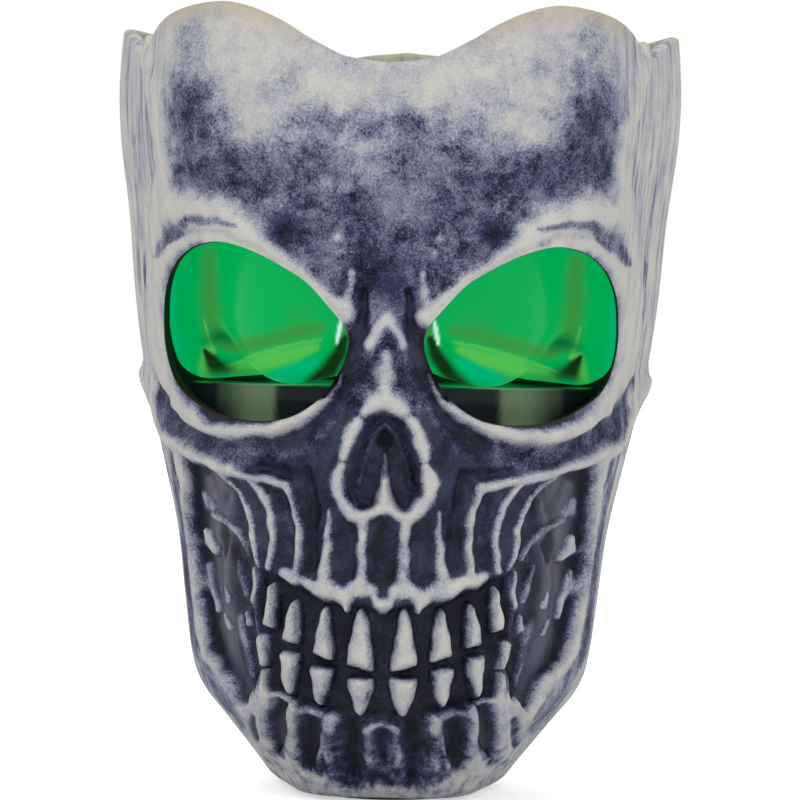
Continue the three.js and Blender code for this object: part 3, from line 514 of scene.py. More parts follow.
line(-1.7, 0.62, 0.2, (0.215, 0.264, 0.002), (0.2105, 0.247, 0.0045))
line(-1.7, 0.62, 0.2, (0.2155, 0.23, 0.002), (0.2095, 0.214, 0.0045))
line(-1.7, 0.4, 0.3, (0.196, 0.296, 0.003), (0.1905, 0.275, 0.0045), (0.184, 0.252, 0.003))
line(-1.6, 0.8, 0.3, (0.183, 0.232, 0.002), (0.182, 0.217, 0.0038))
# Mouth hollow round the teeth
patch(-1.6, 0.03, 0.6, 0.008, (-0.06, 0.25), (0, 0.243), (0.05, 0.247), (0.1, 0.262), (0.135, 0.28),
      (0.155, 0.285), (0.162, 0.25), (0.16, 0.21), (0.155, 0.165), (0.143, 0.132), (0.12, 0.118),
      (0.08, 0.104), (0.04, 0.098), (-0.06, 0.098))
# Valley beside the nose, valley under the eye, and the crease in the brow
line(-0.9, 0.08, 0.8, (0.028, 0.64, 0.004), (0.031, 0.61, 0.0085), (0.034, 0.586, 0.012),
     (0.054, 0.53, 0.014), (0.078, 0.49, 0.016), (0.115, 0.452, 0.018))
line(-0.9, 0.22, 0.1, (0.302, 0.535, 0.008), (0.28, 0.495, 0.011), (0.25, 0.462), (0.2, 0.44, 0.012),
     (0.15, 0.436, 0.013))
line(-0.7, 0.1, 0.6, (0.16, 0.418, 0.004), (0.128, 0.412, 0.008), (0.105, 0.405, 0.009))
# Troughs between the roots of the upper teeth
line(-0.9, 0.06, 0.8, (0, 0.345, 0.014), (0, 0.275))
line(-0.9, 0.1, 0.8, (0.048, 0.345, 0.013), (0.049, 0.282, 0.012))
line(-0.9, 0.03, 0.6, (0.098, 0.415, 0.006), (0.091, 0.365, 0.009), (0.089, 0.295, 0.01))
line(-0.9, 0.16, 0.5, (0.13, 0.38, 0.007), (0.123, 0.345, 0.009), (0.124, 0.305))
# Chin: slots between the roots of the lower teeth
patch(None, 0.16, 0.1, 0.012, (-0.06, 0.018), (-0.06, 0.1), (0.1, 0.108), (0.112, 0.05), (0.09, 0.034),
      (0.055, 0.018))
line(-1.0, 0.05, 0.1, (0, 0.084, 0.006), (0, 0.058, 0.0065))
line(-1.2, 0.04, 0.15, (0.038, 0.096, 0.008), (0.039, 0.07, 0.0125), (0.038, 0.034, 0.009))
line(-1.2, 0.02, 0.2, (0.0925, 0.094, 0.0125), (0.0935, 0.07, 0.0155), (0.095, 0.05, 0.0125))
line(-1.2, 0.02, 0.7, (0.128, 0.118, 0.0055), (0.1285, 0.095, 0.0085), (0.13, 0.074, 0.0075),
     (0.132, 0.06, 0.003))
line(-0.4, 0.2, 0.2, (0.166, 0.1, 0.0055), (0.163, 0.074, 0.0045))
# Columns and arches between the slots
line(0.3, 0.4, 0.0, (0.018, 0.086, 0.0048), (0.019, 0.048, 0.0042))
line(0.3, 0.62, 0.0, (0, 0.0945, 0.0025), (0.009, 0.0925, 0.003), (0.019, 0.0855, 0.005))
line(0.3, 0.3, 0.0, (0.066, 0.085, 0.006), (0.067, 0.04, 0.0045))
line(0.3, 0.48, 0.0, (0.073, 0.08, 0.0032), (0.081, 0.045, 0.004))
line(0.4, 0.66, 0.0, (0.0655, 0.1, 0.0095), (0.0665, 0.088, 0.0065))
line(0.4, 0.55, 0.0, (0.078, 0.107, 0.005), (0.095, 0.112, 0.0045), (0.108, 0.11, 0.005))
line(0.5, 0.74, 0.0, (0.113, 0.119, 0.005), (0.1145, 0.1, 0.0055), (0.1135, 0.08),
     (0.1125, 0.06, 0.007), (0.114, 0.044, 0.01))
line(0.4, 0.6, 0.0, (0.1185, 0.124, 0.003), (0.131, 0.129), (0.146, 0.128, 0.004))
line(0.5, 0.75, 0.0, (0.149, 0.16, 0.0025), (0.149, 0.145, 0.0035), (0.147, 0.13, 0.006),
     (0.149, 0.1, 0.0068), (0.1475, 0.08, 0.0065), (0.147, 0.058, 0.009))
line(0.5, 0.8, 0.0, (0.154, 0.199, 0.0055), (0.152, 0.185), (0.1495, 0.168, 0.003))
# Swell of the cheek bone, then its bone edge, which runs down into the first fold
line(0.8, None, None, (0.42, 0.53, 0.012), (0.37, 0.522, 0.022), (0.335, 0.512, 0.026),
     (0.31, 0.486, 0.022), (0.28, 0.455, 0.016))
line(1.1, 0.92, 0.0, (0.41, 0.532, 0.006), (0.37, 0.526, 0.009), (0.337, 0.514, 0.0105), (0.314, 0.496),
     (0.301, 0.472, 0.01), (0.286, 0.4525, 0.009), (0.263, 0.443, 0.0075), (0.2445, 0.4305, 0.007),
     (0.2195, 0.4205, 0.0065), (0.194, 0.4115, 0.006))
line(1.1, 0.85, 0.0, (0.2, 0.4135, 0.006), (0.167, 0.4045, 0.0055), (0.143, 0.4), (0.121, 0.3945))
line(0.9, 0.74, 0.0, (0.122, 0.3945, 0.0045), (0.1155, 0.382), (0.1095, 0.3635),
     (0.1055, 0.345, 0.0042), (0.1045, 0.324), (0.106, 0.3055, 0.0045), (0.108, 0.289, 0.0048),
     (0.1125, 0.2795, 0.006))
# Brow, and the edge of the temple
line(1.2, 0.97, 0.0, (0.052, 0.612, 0.0085), (0.08, 0.634), (0.1, 0.6535, 0.0095), (0.125, 0.671),
     (0.15, 0.688, 0.011), (0.172, 0.708, 0.0155), (0.2, 0.726, 0.0225), (0.24, 0.733, 0.027),
     (0.275, 0.742, 0.02))
line(0.6, 0.93, 0.0, (0.316, 0.965, 0.006), (0.31, 0.93, 0.0065), (0.299, 0.88, 0.0075),
     (0.29, 0.83, 0.0085), (0.284, 0.79, 0.0105), (0.287, 0.75, 0.0125), (0.2925, 0.7, 0.0095),
     (0.2965, 0.65), (0.2985, 0.59), (0.297, 0.55))
line(0.2, 0.42, 0.0, (0.309, 0.68, 0.0025), (0.3135, 0.62, 0.004), (0.3125, 0.56, 0.0035))
# Folds that run from the cheek bone down to the back teeth
line(0.6, 0.78, 0.1, (0.168, 0.4, 0.003), (0.154, 0.384, 0.0038), (0.146, 0.3705, 0.0042),
     (0.1415, 0.354), (0.1385, 0.3355), (0.1385, 0.317), (0.141, 0.3005, 0.004), (0.143, 0.2905))
line(0.4, 0.68, 0.2, (0.209, 0.409, 0.0022), (0.1925, 0.3955, 0.0026), (0.1805, 0.3815, 0.003),
     (0.171, 0.363, 0.0034), (0.1655, 0.344, 0.0038), (0.164, 0.3255), (0.163, 0.3115, 0.0034),
     (0.155, 0.293, 0.0026))
# Bright streak between the last back tooth and the cheek
line(-0.4, 0.72, 0.2, (0.167, 0.288, 0.003), (0.1655, 0.27, 0.0035), (0.1675, 0.247, 0.0032))
# Roots of the upper teeth, and the ragged lower edge of the upper jaw
line(0.6, 0.76, 0.05, (0.026, 0.352, 0.005), (0.0255, 0.3255, 0.0058), (0.026, 0.302, 0.0062),
     (0.026, 0.281, 0.0078), (0.0285, 0.267, 0.0105))
line(0.6, 0.74, 0.05, (0.069, 0.364, 0.0022), (0.069, 0.338, 0.0045), (0.0705, 0.3145, 0.0054),
     (0.073, 0.291, 0.0062), (0.0745, 0.275, 0.008), (0.0765, 0.267, 0.0115))
line(0.6, 0.8, 0.0, (0.124, 0.283, 0.007), (0.111, 0.277, 0.009), (0.102, 0.275, 0.0078))
line(0.6, 0.86, 0.0, (0.0945, 0.27, 0.0078), (0.084, 0.265, 0.011), (0.07, 0.2635),
     (0.058, 0.261, 0.0088), (0.0475, 0.2515, 0.0075), (0.0455, 0.2385, 0.0035))
line(0.6, 0.86, 0.0, (0.0475, 0.2545, 0.0075), (0.039, 0.2625, 0.009), (0.0275, 0.2655, 0.011),
     (0.0155, 0.262, 0.008))
line(0.6, 0.86, 0.0, (0.0105, 0.254, 0.0035), (0.0055, 0.247, 0.0068), (0, 0.2445, 0.009))
# Nose: the hollow with its hood, septum and spine, the rim in two pieces, and the knob above
patch(-2.6, 0.08, 0.8, 0.005, (-0.02, 0.472), (0, 0.487), (0.018, 0.475), (0.0315, 0.447),
      (0.04, 0.415), (0.0455, 0.39), (0.037, 0.37), (0.02, 0.366), (0, 0.376), (-0.02, 0.366))
line(-2.25, 0.2, 0.8, (0, 0.4725, 0.0045), (0.013, 0.4605), (0.0235, 0.44), (0.031, 0.4175),
     (0.035, 0.394, 0.004))
patch(-3.0, 0.0, 0.2, 0.004, (-0.012, 0.446), (0, 0.47), (0.012, 0.446), (0.006, 0.442),
      (-0.006, 0.442))
line(-2.0, 0.36, 0.5, (0, 0.434, 0.003), (0.0005, 0.404, 0.0045))
line(0.7, 0.9, 0.0, (0.0325, 0.477, 0.0068), (0.042, 0.4605, 0.0074), (0.0475, 0.444, 0.0072),
     (0.0495, 0.431, 0.005))
line(0.7, 0.9, 0.0, (0.052, 0.421, 0.005), (0.0565, 0.411, 0.0075), (0.0585, 0.3975, 0.0085),
     (0.056, 0.384), (0.048, 0.37), (0.0385, 0.3595, 0.0082), (0.029, 0.3545, 0.0078),
     (0.018, 0.359, 0.0066), (0.008, 0.3655, 0.006))
line(0.2, 0.92, 0.0, (0, 0.399, 0.0058), (0, 0.386, 0.0088), (0, 0.371, 0.0125))
line(0.9, 0.86, 0.0, (0, 0.5575, 0.0085), (0, 0.54, 0.0115), (0, 0.519))
line(1.4, 0.98, 0.0, (0, 0.503, 0.0152), (0.012, 0.4985, 0.0135), (0.0225, 0.49, 0.0085))
line(0.8, 0.86, 0.0, (0, 0.6045, 0.0065), (0.011, 0.5905, 0.0072), (0.0205, 0.571, 0.0065))
line(0.8, 0.66, 0.0, (0.044, 0.662, 0.004), (0.046, 0.635, 0.0055), (0.049, 0.618, 0.0065))
line(1.1, 0.97, 0.0, (0.049, 0.608, 0.0105), (0.058, 0.6135, 0.0112))
# Rim of the eye: dark at the hole's lower inner edge, with the bone ring round it
line(None, 0.03, 0.6, *[(across, up, 0.006) for across, up in eye_lower_inner])
line(0.5, 0.5, 0.2, (0.0545, 0.535, 0.0022), (0.061, 0.518, 0.003), (0.0705, 0.503, 0.0045))
line(1.1, 0.93, 0.0, (0.072, 0.5025, 0.003), (0.0805, 0.4955, 0.006), (0.1, 0.4815, 0.008),
     (0.123, 0.4705, 0.0088), (0.1465, 0.4635), (0.17, 0.461, 0.009), (0.1955, 0.4595),
     (0.2215, 0.4635), (0.246, 0.478, 0.0095), (0.262, 0.4945))
line(0.5, 0.94, 0.0, (0.262, 0.4945, 0.0095), (0.281, 0.527, 0.0115), (0.291, 0.563, 0.0125),
     (0.2935, 0.6), (0.2915, 0.64, 0.012), (0.2845, 0.664, 0.0105), (0.27, 0.6865, 0.009),
     (0.25, 0.7005, 0.008), (0.226, 0.7065, 0.0065), (0.205, 0.706, 0.006))
line(0.7, 0.94, 0.0, *[(across, up, 0.0072) for across, up in eye_upper])
line(None, 0.4, 0.0, (0.2885, 0.679, 0.0035), (0.28, 0.6985, 0.0055), (0.2635, 0.7135, 0.0062),
     (0.244, 0.7245), (0.2185, 0.7255, 0.0058), (0.1835, 0.719, 0.0035))

# Teeth: [neck or tip across, up, inner edge across, outer edge across, inner and outer end of the
# biting edge up]
TOOTH_SHARES = [
    (0.0275, 0.2385, 0.0108, 0.0446, 0.161, 0.168), (0.0725, 0.241, 0.063, 0.088, 0.174, 0.182),
    (0.11, 0.249, 0.1055, 0.126, 0.1925, 0.197), (0.138, 0.271, 0.137, 0.1505, 0.213, 0.216),
    (0.0265, 0.1055, 0.0108, 0.0435, 0.1515, 0.1515), (0.0772, 0.119, 0.064, 0.0897, 0.1635, 0.167),
    (0.1185, 0.131, 0.106, 0.129, 0.181, 0.185),
]
# Steps from the neck to the biting edge: [share of the way, share of the width]
UPPER_TOOTH_SHARES = [
    (-0.02, 0), (0.05, 0.3), (0.25, 0.52), (0.5, 0.72), (0.75, 0.9), (0.92, 1), (1, 0.82),
]
LOWER_TOOTH_SHARES = [
    (-0.02, 0), (0.08, 0.32), (0.25, 0.58), (0.5, 0.82), (0.78, 1), (0.93, 1), (1, 0.84),
]
TOOTH_CROWN_SHARES = (0.6, 0.86)
TOOTH_STEPS = 3
for neck, neck_up, inner, outer, inner_bite, outer_bite in TOOTH_SHARES:
    bite_up = (inner_bite + outer_bite) / 2
    form = UPPER_TOOTH_SHARES if neck_up > bite_up else LOWER_TOOTH_SHARES
    middle, half = (outer + inner) / 2, (outer - inner) / 2
    outline = []
    for side_sign, steps in ((-1, form), (1, form[:0:-1])):
        slant = side_sign * (outer_bite - inner_bite) / 2
        outline += [(neck + (middle - neck) * way + side_sign * half * width,
                     neck_up + (bite_up - neck_up) * way + slant * way) for way, width in steps]
    patch(0.35, 0.62, 0.05, 0.003, *smooth_loop(outline, TOOTH_STEPS))
    centre = np.array([middle, (neck_up + bite_up) / 2])
    crown_outline = centre + (np.array(outline) - centre) * TOOTH_CROWN_SHARES
    patch(1.0, 0.86, 0.0, 0.0045, *smooth_loop(crown_outline, TOOTH_STEPS))

# Touches of the sponge on the forehead and sides: [across, up, half width, half height, bone]
DABS_BOTH_SIDES = [
    (0.25, 0.86, 0.035, 0.06, 0.2), (0.215, 0.8, 0.05, 0.035, 0.23), (0.248, 0.955, 0.02, 0.02, 0.5),
    (0.165, 0.85, 0.03, 0.028, 0.85), (0.13, 0.715, 0.02, 0.018, 0.05),
    (0.063, 0.706, 0.006, 0.006, 0.75), (0.058, 0.6885, 0.005, 0.005, 0.7),
    (0.14, 0.748, 0.022, 0.01, 0.45),
]
DABS_ONE_SIDE = [
    (0, 0.65, 0.03, 0.035, 0.1), (0.03, 0.852, 0.035, 0.013, 0.32),
    (-0.08, 0.848, 0.028, 0.016, 0.35), (-0.015, 0.82, 0.04, 0.013, 0.75),
    (-0.13, 0.905, 0.022, 0.018, 0.6), (0.11, 0.86, 0.03, 0.018, 0.5),
    (0.16, 0.92, 0.03, 0.025, 0.75), (-0.015, 0.79, 0.022, 0.012, 0.5),
    (0.05, 0.76, 0.014, 0.01, 0.4), (-0.06, 0.77, 0.018, 0.01, 0.4),
]


def stretch_distance(x, y, start, end):
    """Distance from places to the stretch between two points, and how far along it that is."""
    dx, dy = end[0] - start[0], end[1] - start[1]
    along = np.clip(((x - start[0]) * dx + (y - start[1]) * dy) / (dx * dx + dy * dy), 0, 1)
    return np.hypot(x - start[0] - along * dx, y - start[1] - along * dy), along


def line_reach(x, y, rows):
    """How many half widths away a line's middle is."""
    reach = np.full_like(x, np.inf)
    for start, end in zip(rows[:-1], rows[1:]):
        distance, along = stretch_distance(x, y, start, end)
        reach = np.minimum(reach, distance / (start[2] + along * (end[2] - start[2])))
    return reach


def patch_depth(x, y, outline):
    """How far inside a closed outline places are, below zero outside it."""
    distance = np.full_like(x, np.inf)
    inside = np.zeros(x.shape, bool)
    for start, end in zip(outline, np.roll(outline, -1, axis=0)):
        distance = np.minimum(distance, stretch_distance(x, y, start, end)[0])
        if start[1] != end[1]:
            crossing = start[0] + (y - start[1]) / (end[1] - start[1]) * (end[0] - start[0])
            inside ^= ((start[1] > y) != (end[1] > y)) & (x < crossing)
    return np.where(inside, distance, -distance)


# Unevenness of the hand: [length of a wave, direction in degrees, start, reach], all as shares
WANDER_SHARES = [(0.061, 20, 0.3, 0.0008), (0.037, 115, 0.7, 0.0006), (0.0235, 65, 0.1, 0.0004)]
WIDTH_WANDER_SHARE = 120
# Degrees that the unevenness is turned by for a line's width, its place across and its place up
WANDER_TURNS = (140, 0, 75)


def wander(across, up, turned_by):
    """A small shift that makes the lines uneven, as by hand."""
    shift = 0 * across
    for length, direction, start, reach in WANDER_SHARES:
        aim = math.radians(direction + turned_by)
        along = across * math.cos(aim) + up * math.sin(aim)
        shift = shift + reach * np.sin(2 * math.pi * (along / length + start))
    return shift


# Bone paint, from 0 to 1: over the brows and what the crown has more, on the jaws and what the chin
# has more, and in the sides' valleys and what their lobes and feet have more or less
BROW_PAINT = 0.28
CROWN_PAINT = 0.57
JAW_PAINT = 0.24
CHIN_PAINT = 0.5
VALLEY_PAINT = 0.78
LOBE_PAINT = 0.16
LOW_SIDE_PAINT = -0.1
FOOT_PAINT = 0.12
LOBE_POWER = 1.5
# Where each begins and ends on the sheet
CROWN_SHARES = (0.78, 0.91)
CROWN_BEND_SHARE = 0.25
FACE_SHARES = (0.5, 0.6)
CHIN_SHARES = (0.026, 0.01)
CHIN_BEND_SHARE = 0.03
CHIN_BEND_SHARES = (0.05, 0.1)
LOW_SIDE_SHARES = (0.55, 0.4)
FOOT_SHARES = (0.12, 0.05)
SIDE_SHARES = (0.27, 0.31)
CHIN_SIDE_SHARES = (0.2, 0.05)
CHIN_SIDE_REACH_SHARE = 0.35
CHIN_SIDE_START_SHARE = 0.15


def plain_paint(turn, across, up):
    """Bone paint before the marks: thick on the crown, thin over the brows, brushed on the lobes."""
    side = np.abs(across)
    crown = BROW_PAINT + CROWN_PAINT * smooth_ramp(*CROWN_SHARES, up + CROWN_BEND_SHARE * side * side)
    face = smooth_ramp(*FACE_SHARES, up)
    chin = smooth_ramp(*CHIN_SHARES, up - CHIN_BEND_SHARE * smooth_ramp(*CHIN_BEND_SHARES, side))
    front = crown * face + (JAW_PAINT + CHIN_PAINT * chin) * (1 - face)
    on_lobe = LOBE_PAINT * (0.5 + 0.5 * lobe(turn)) ** LOBE_POWER
    sides = VALLEY_PAINT + on_lobe + LOW_SIDE_PAINT * smooth_ramp(*LOW_SIDE_SHARES, up)
    sides += FOOT_PAINT * smooth_ramp(*FOOT_SHARES, up)
    nearer = CHIN_SIDE_REACH_SHARE * smooth_ramp(*CHIN_SIDE_SHARES, up) * (side > CHIN_SIDE_START_SHARE)
    return front + (sides - front) * smooth_ramp(*SIDE_SHARES, side + nearer)


def carve(turn, height):
    """Relief in metres, share of bone paint and share of gloss at places of the plain body."""
    across, up = sheet_place(turn, height)
    side = np.abs(across)
    bone = plain_paint(turn, across, up)
    dabs = list(DABS_ONE_SIDE)
    dabs += [(sign * row[0], *row[1:]) for row in DABS_BOTH_SIDES for sign in (1, -1)]
    for dab_across, dab_up, half_width, half_height, share in dabs:
        cover = np.exp(-((across - dab_across) / half_width) ** 2 - ((up - dab_up) / half_height) ** 2)
        bone += (share - bone) * cover
    fields = [np.zeros_like(side), bone, np.zeros_like(side)]
    width_turn, across_turn, up_turn = WANDER_TURNS
    narrower = 1 + WIDTH_WANDER_SHARE * wander(across, up, width_turn)
    side = side + wander(across, up, across_turn)
    up = up + wander(across, up, up_turn)
    for kind, targets, edge, points in marks:
        margin = edge if kind == "patch" else SWELL_EDGE_SHARES[1] * points[:, 2].max()
        low, high = points[:, :2].min(axis=0) - margin, points[:, :2].max(axis=0) + margin
        near = np.flatnonzero((side > low[0]) & (side < high[0]) & (up > low[1]) & (up < high[1]))
        if kind == "patch":
            depth = patch_depth(side[near], up[near], points)
            swell, brush = smooth_ramp(-edge, edge, depth), smooth_ramp(-edge / 2, edge / 2, depth)
        else:
            reach = line_reach(side[near], up[near], points) * narrower[near]
            swell = 1 - smooth_ramp(*SWELL_EDGE_SHARES, reach)
            brush = 1 - smooth_ramp(*BRUSH_EDGE_SHARES, reach)
        for field, target, cover, unit in zip(fields, targets, (swell, brush, brush), (MM, 1, 1)):
            if target is not None:
                field[near] += (target * unit - field[near]) * cover
    return fields


def steps_between(start, end, step):
    return np.linspace(start, end, max(2, round(abs(end - start) / step)), endpoint=False)


# Shares of the height or of the radius at which the shell's rings stand
RIM_ROW_SHARES = (0.55, 1)
UNDERSIDE_SHARES = (0.35, 0.7, 1)
OUTSIDE_SHARES = (0.003, 0.975)
INSIDE_SHARES = (0.97, 0.06)
FLOOR_SHARES = (1, 0.6)
CHIN_EDGE_SHARES = (0, 0.012)
CHIN_EDGE = 0.7


def row_height(turns, share):
    """Rows keep their height low down and follow the scalloped rim higher up."""
    fall = SKULL_HEIGHT - rim_height(turns)
    return share * SKULL_HEIGHT - fall * smooth_ramp(*RIM_ROW_SHARES, share) * share


def shell_rings():
    """Rings of the shell, from under the chin up the outside, over the lip and down the inside."""
    front = steps_between(-FACE_TURN, FACE_TURN, FACE_STEP / TOP_RADIUS)
    back = steps_between(FACE_TURN, 2 * math.pi - FACE_TURN, BACK_STEP / TOP_RADIUS)
    turns = (np.concatenate([front, back]) + math.pi) % (2 * math.pi) - math.pi
    rings = [around(turns, share * (body_radius(turns, 0 * turns) - LIP_ROUND), 0 * turns)
             for share in UNDERSIDE_SHARES]
    for share in steps_between(*OUTSIDE_SHARES, FACE_STEP / SKULL_HEIGHT):
        height = row_height(turns, share)
        edge = LIP_ROUND * (1 - smooth_ramp(*CHIN_EDGE_SHARES, share)) * CHIN_EDGE
        rings.append(around(turns, body_radius(turns, height) - edge + carve(turns, height)[0], height))
    top = rim_height(turns)
    rim_radius = body_radius(turns, top)
    outer_lip = [(LIP_ROUND * (1 - math.cos(step)), step)
                 for step in np.linspace(0, math.pi / 2, LIP_STEPS)]
    inner_lip = [(UPPER_WALL - LIP_ROUND * (1 - math.cos(step)), step)
                 for step in np.linspace(math.pi / 2, 0, LIP_STEPS)]
    for inset, step in outer_lip + inner_lip:
        rings.append(around(turns, rim_radius - inset, top - LIP_ROUND * (1 - math.sin(step))))
    for share in steps_between(*INSIDE_SHARES, INSIDE_STEP / SKULL_HEIGHT):
        height = row_height(turns, share)
        rings.append(around(turns, body_radius(turns, height) - wall_at(height), height))
    low = FLOOR_THICKNESS + 0 * turns
    for share in FLOOR_SHARES:
        rings.append(around(turns, share * (body_radius(turns, low) - SHELL_WALL - LIP_ROUND), low))
    return np.array(rings)


def combine(whole, others, operation):
    """Joins closed meshes to another or cuts them out of it, and deletes them."""
    for other in others:
        step = whole.modifiers.new("combine", "BOOLEAN")
        step.operation = operation
        step.solver = "MANIFOLD"
        step.object = other
    evaluated = whole.evaluated_get(bpy.context.evaluated_depsgraph_get())
    mesh = bpy.data.meshes.new_from_object(evaluated)
    whole.modifiers.clear()
    whole.data = mesh
    for other in others:
        bpy.data.objects.remove(other)


def eye_cutter(side):
    """The eye's outline, run straight back from well in front of the face to the skull's middle."""
    rim = np.array([body_point(across, up) for across, up in eye_loop]) * (side, 1, 1)
    rim = rim if side > 0 else rim[::-1]
    rings = np.repeat(rim[None], 2, axis=0)
    rings[0, :, 1] = -TOP_RADIUS * (1 + 2 * LOBE_DEPTH_SHARE)
    rings[1, :, 1] = 0
    points, faces = ring_skin(rings, *rings.mean(axis=1))
    return solid_piece("eye_cutter", points + np.array([0, 0, shell_low.z]), faces)


SCREW_NAMES = ["stand_screw_1", "stand_screw_2", "stand_screw_3"]
HOLE_RADIUS = 1.6 * MM
BORE_RADIUS = 2.7 * MM
BORE_DEPTH = 1.8 * MM
BORE_STEPS = 32
OVERRUN = 1 * MM
screw_places = [(sum(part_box(name), Vector()) / 2).xy for name in SCREW_NAMES]


def screw_cutter(place):
    low, deep = shell_low.z - OVERRUN, shell_low.z + BORE_DEPTH
    high = shell_low.z + FLOOR_THICKNESS + OVERRUN
    profile = [
        (0, low), (BORE_RADIUS, low), (BORE_RADIUS, deep), (HOLE_RADIUS, deep), (HOLE_RADIUS, high),
        (0, high),
    ]
    return solid_piece("screw_cutter", *turned(profile, BORE_STEPS, place))


BONE_COLOUR = (0.58, 0.57, 0.525, 1)
BONE_GREY = (0.43, 0.435, 0.47, 1)
TAN_COLOUR = (0.5, 0.42, 0.28, 1)
LAVENDER_COLOUR = (0.225, 0.24, 0.33, 1)
PURPLE_COLOUR = (0.043, 0.047, 0.1, 1)
SLATE_COLOUR = (0.032, 0.036, 0.066, 1)
SHADED_SLATE = (0.014, 0.016, 0.034, 1)
DEEP_COLOUR = (0.005, 0.006, 0.013, 1)
EDGE_COLOUR = (0.04, 0.016, 0.014, 1)
INSIDE_COLOUR = (0.05, 0.048, 0.07, 1)
# The colours that the paint runs through as it grows thicker: [share of paint, colour]
PAINT_STOPS = [
    (0.03, DEEP_COLOUR), (0.2, PURPLE_COLOUR), (0.48, LAVENDER_COLOUR), (0.72, BONE_GREY),
    (1.0, BONE_COLOUR),
]
# Noise in the paint: scale, detail, roughness, distortion, stretch
FINE_NOISE = (3400, 3.0, 0.7, 0.4)
FIBRE_NOISE = (1400, 2.0, 0.5, 2.2)
CLOUD_NOISE = (330, 3.0, 0.6, 0.6)
DRIFT_NOISE = (130, 2.0, 0.6, 1.0)
STREAK_NOISE = (700, 3.0, 0.6, 0.0, (1, 1, 0.1))
PAINT_GLOSS = 0.14
PAINT_GRAIN = 0.07 * MM


def skull_finish():
    """Purple plastic under sponged bone paint, glossy where the paint didn't reach."""
    material, tree, shader = finish("sponged_bone_on_purple")
    bone, gloss, behind, crown, brushed = (
        node(tree, "ShaderNodeAttribute", attribute_name=name)["Fac"]
        for name in ("bone_paint", "bare_gloss", "behind_skin", "rim_tan", "brushed_side"))
    fine, fibre, cloud, drift, streak = (
        speckle(tree, *noise)
        for noise in (FINE_NOISE, FIBRE_NOISE, CLOUD_NOISE, DRIFT_NOISE, STREAK_NOISE))
    sponge = weighted(tree, -1.4, (fine, 0.8), (fibre, 0.5), (cloud, 0.8), (drift, 0.7))
    strokes = weighted(tree, -1.5, (fine, 0.7), (streak, 1.7), (drift, 0.6))
    flecks = node(tree, "ShaderNodeMix", {0: brushed, 2: sponge, 3: strokes}, data_type="FLOAT")[0]
    doubt = arithmetic(tree, "MULTIPLY", bone, arithmetic(tree, "SUBTRACT", 1.0, bone))
    doubt = weighted(tree, 0.07, (doubt, 3.6), (bone, 0.4))
    paint = weighted(tree, bone, (flecks, doubt))
    ramp = tree.nodes.new("ShaderNodeValToRGB")
    stops = ramp.color_ramp.elements
    for stop, (position, colour) in zip(stops, (PAINT_STOPS[0], PAINT_STOPS[-1])):
        stop.position = position
        stop.color = colour
    for position, colour in PAINT_STOPS[1:-1]:
        stops.new(position).color = colour
    tree.links.new(paint, ramp.inputs[0])
    colour = mixed(tree, crown, ramp.outputs[0], TAN_COLOUR)
    bare = arithmetic(tree, "MULTIPLY", gloss, spread(tree, paint, 0.15, 0.5, 1.0, 0.0))
    slate = mixed(tree, spread(tree, weighted(tree, 0.0, (cloud, 0.6), (drift, 0.4)), 0.4, 0.6),
                  SHADED_SLATE, SLATE_COLOUR)
    colour = mixed(tree, arithmetic(tree, "MULTIPLY", bare, spread(tree, paint, 0.0, 0.1)), colour, slate)
    colour = mixed(tree, spread(tree, behind, 0.04, 0.12), colour, EDGE_COLOUR)
    dusty = mixed(tree, fibre, INSIDE_COLOUR, SLATE_COLOUR)
    colour = mixed(tree, spread(tree, behind, 0.9, 0.98), colour, dusty)
    grain = arithmetic(tree, "MULTIPLY", arithmetic(tree, "ADD", fine, fibre),
                       arithmetic(tree, "SUBTRACT", 1.0, arithmetic(tree, "MULTIPLY", bare, 0.85)))
    feed(tree, shader, Base_Color=colour, Roughness=spread(tree, bare, 0.0, 1.0, 0.82, 0.3),
         Specular_IOR_Level=PAINT_GLOSS, Normal=bumped(tree, grain, PAINT_GRAIN))
    return material


def store(piece, name, values):
    """Stores values from 0 to 1 on a piece's points, for its finish."""
    attribute = piece.data.attributes.new(name, "FLOAT", "POINT")
    attribute.data.foreach_set("value", np.clip(values, 0, 1).astype(np.float32))


# Paint on the rim and inside it, and how far down from the rim or up from the chin each reaches
RIM_PAINT = 0.8
RIM_PAINT_REACH = 3 * MM
RIM_TAN = 0.75
RIM_TAN_REACH = 2.2 * MM
RIM_TAN_SHARES = (0.2, 0.8)
INSIDE_FROM_RIM = (2.5 * MM, 6 * MM)
INSIDE_FROM_CHIN = (1.5 * MM, 3.5 * MM)
BRUSHED_SIDE_SHARES = (0.265, 0.3)
BRUSHED_CHIN_SHARES = (0.1, 0.05)


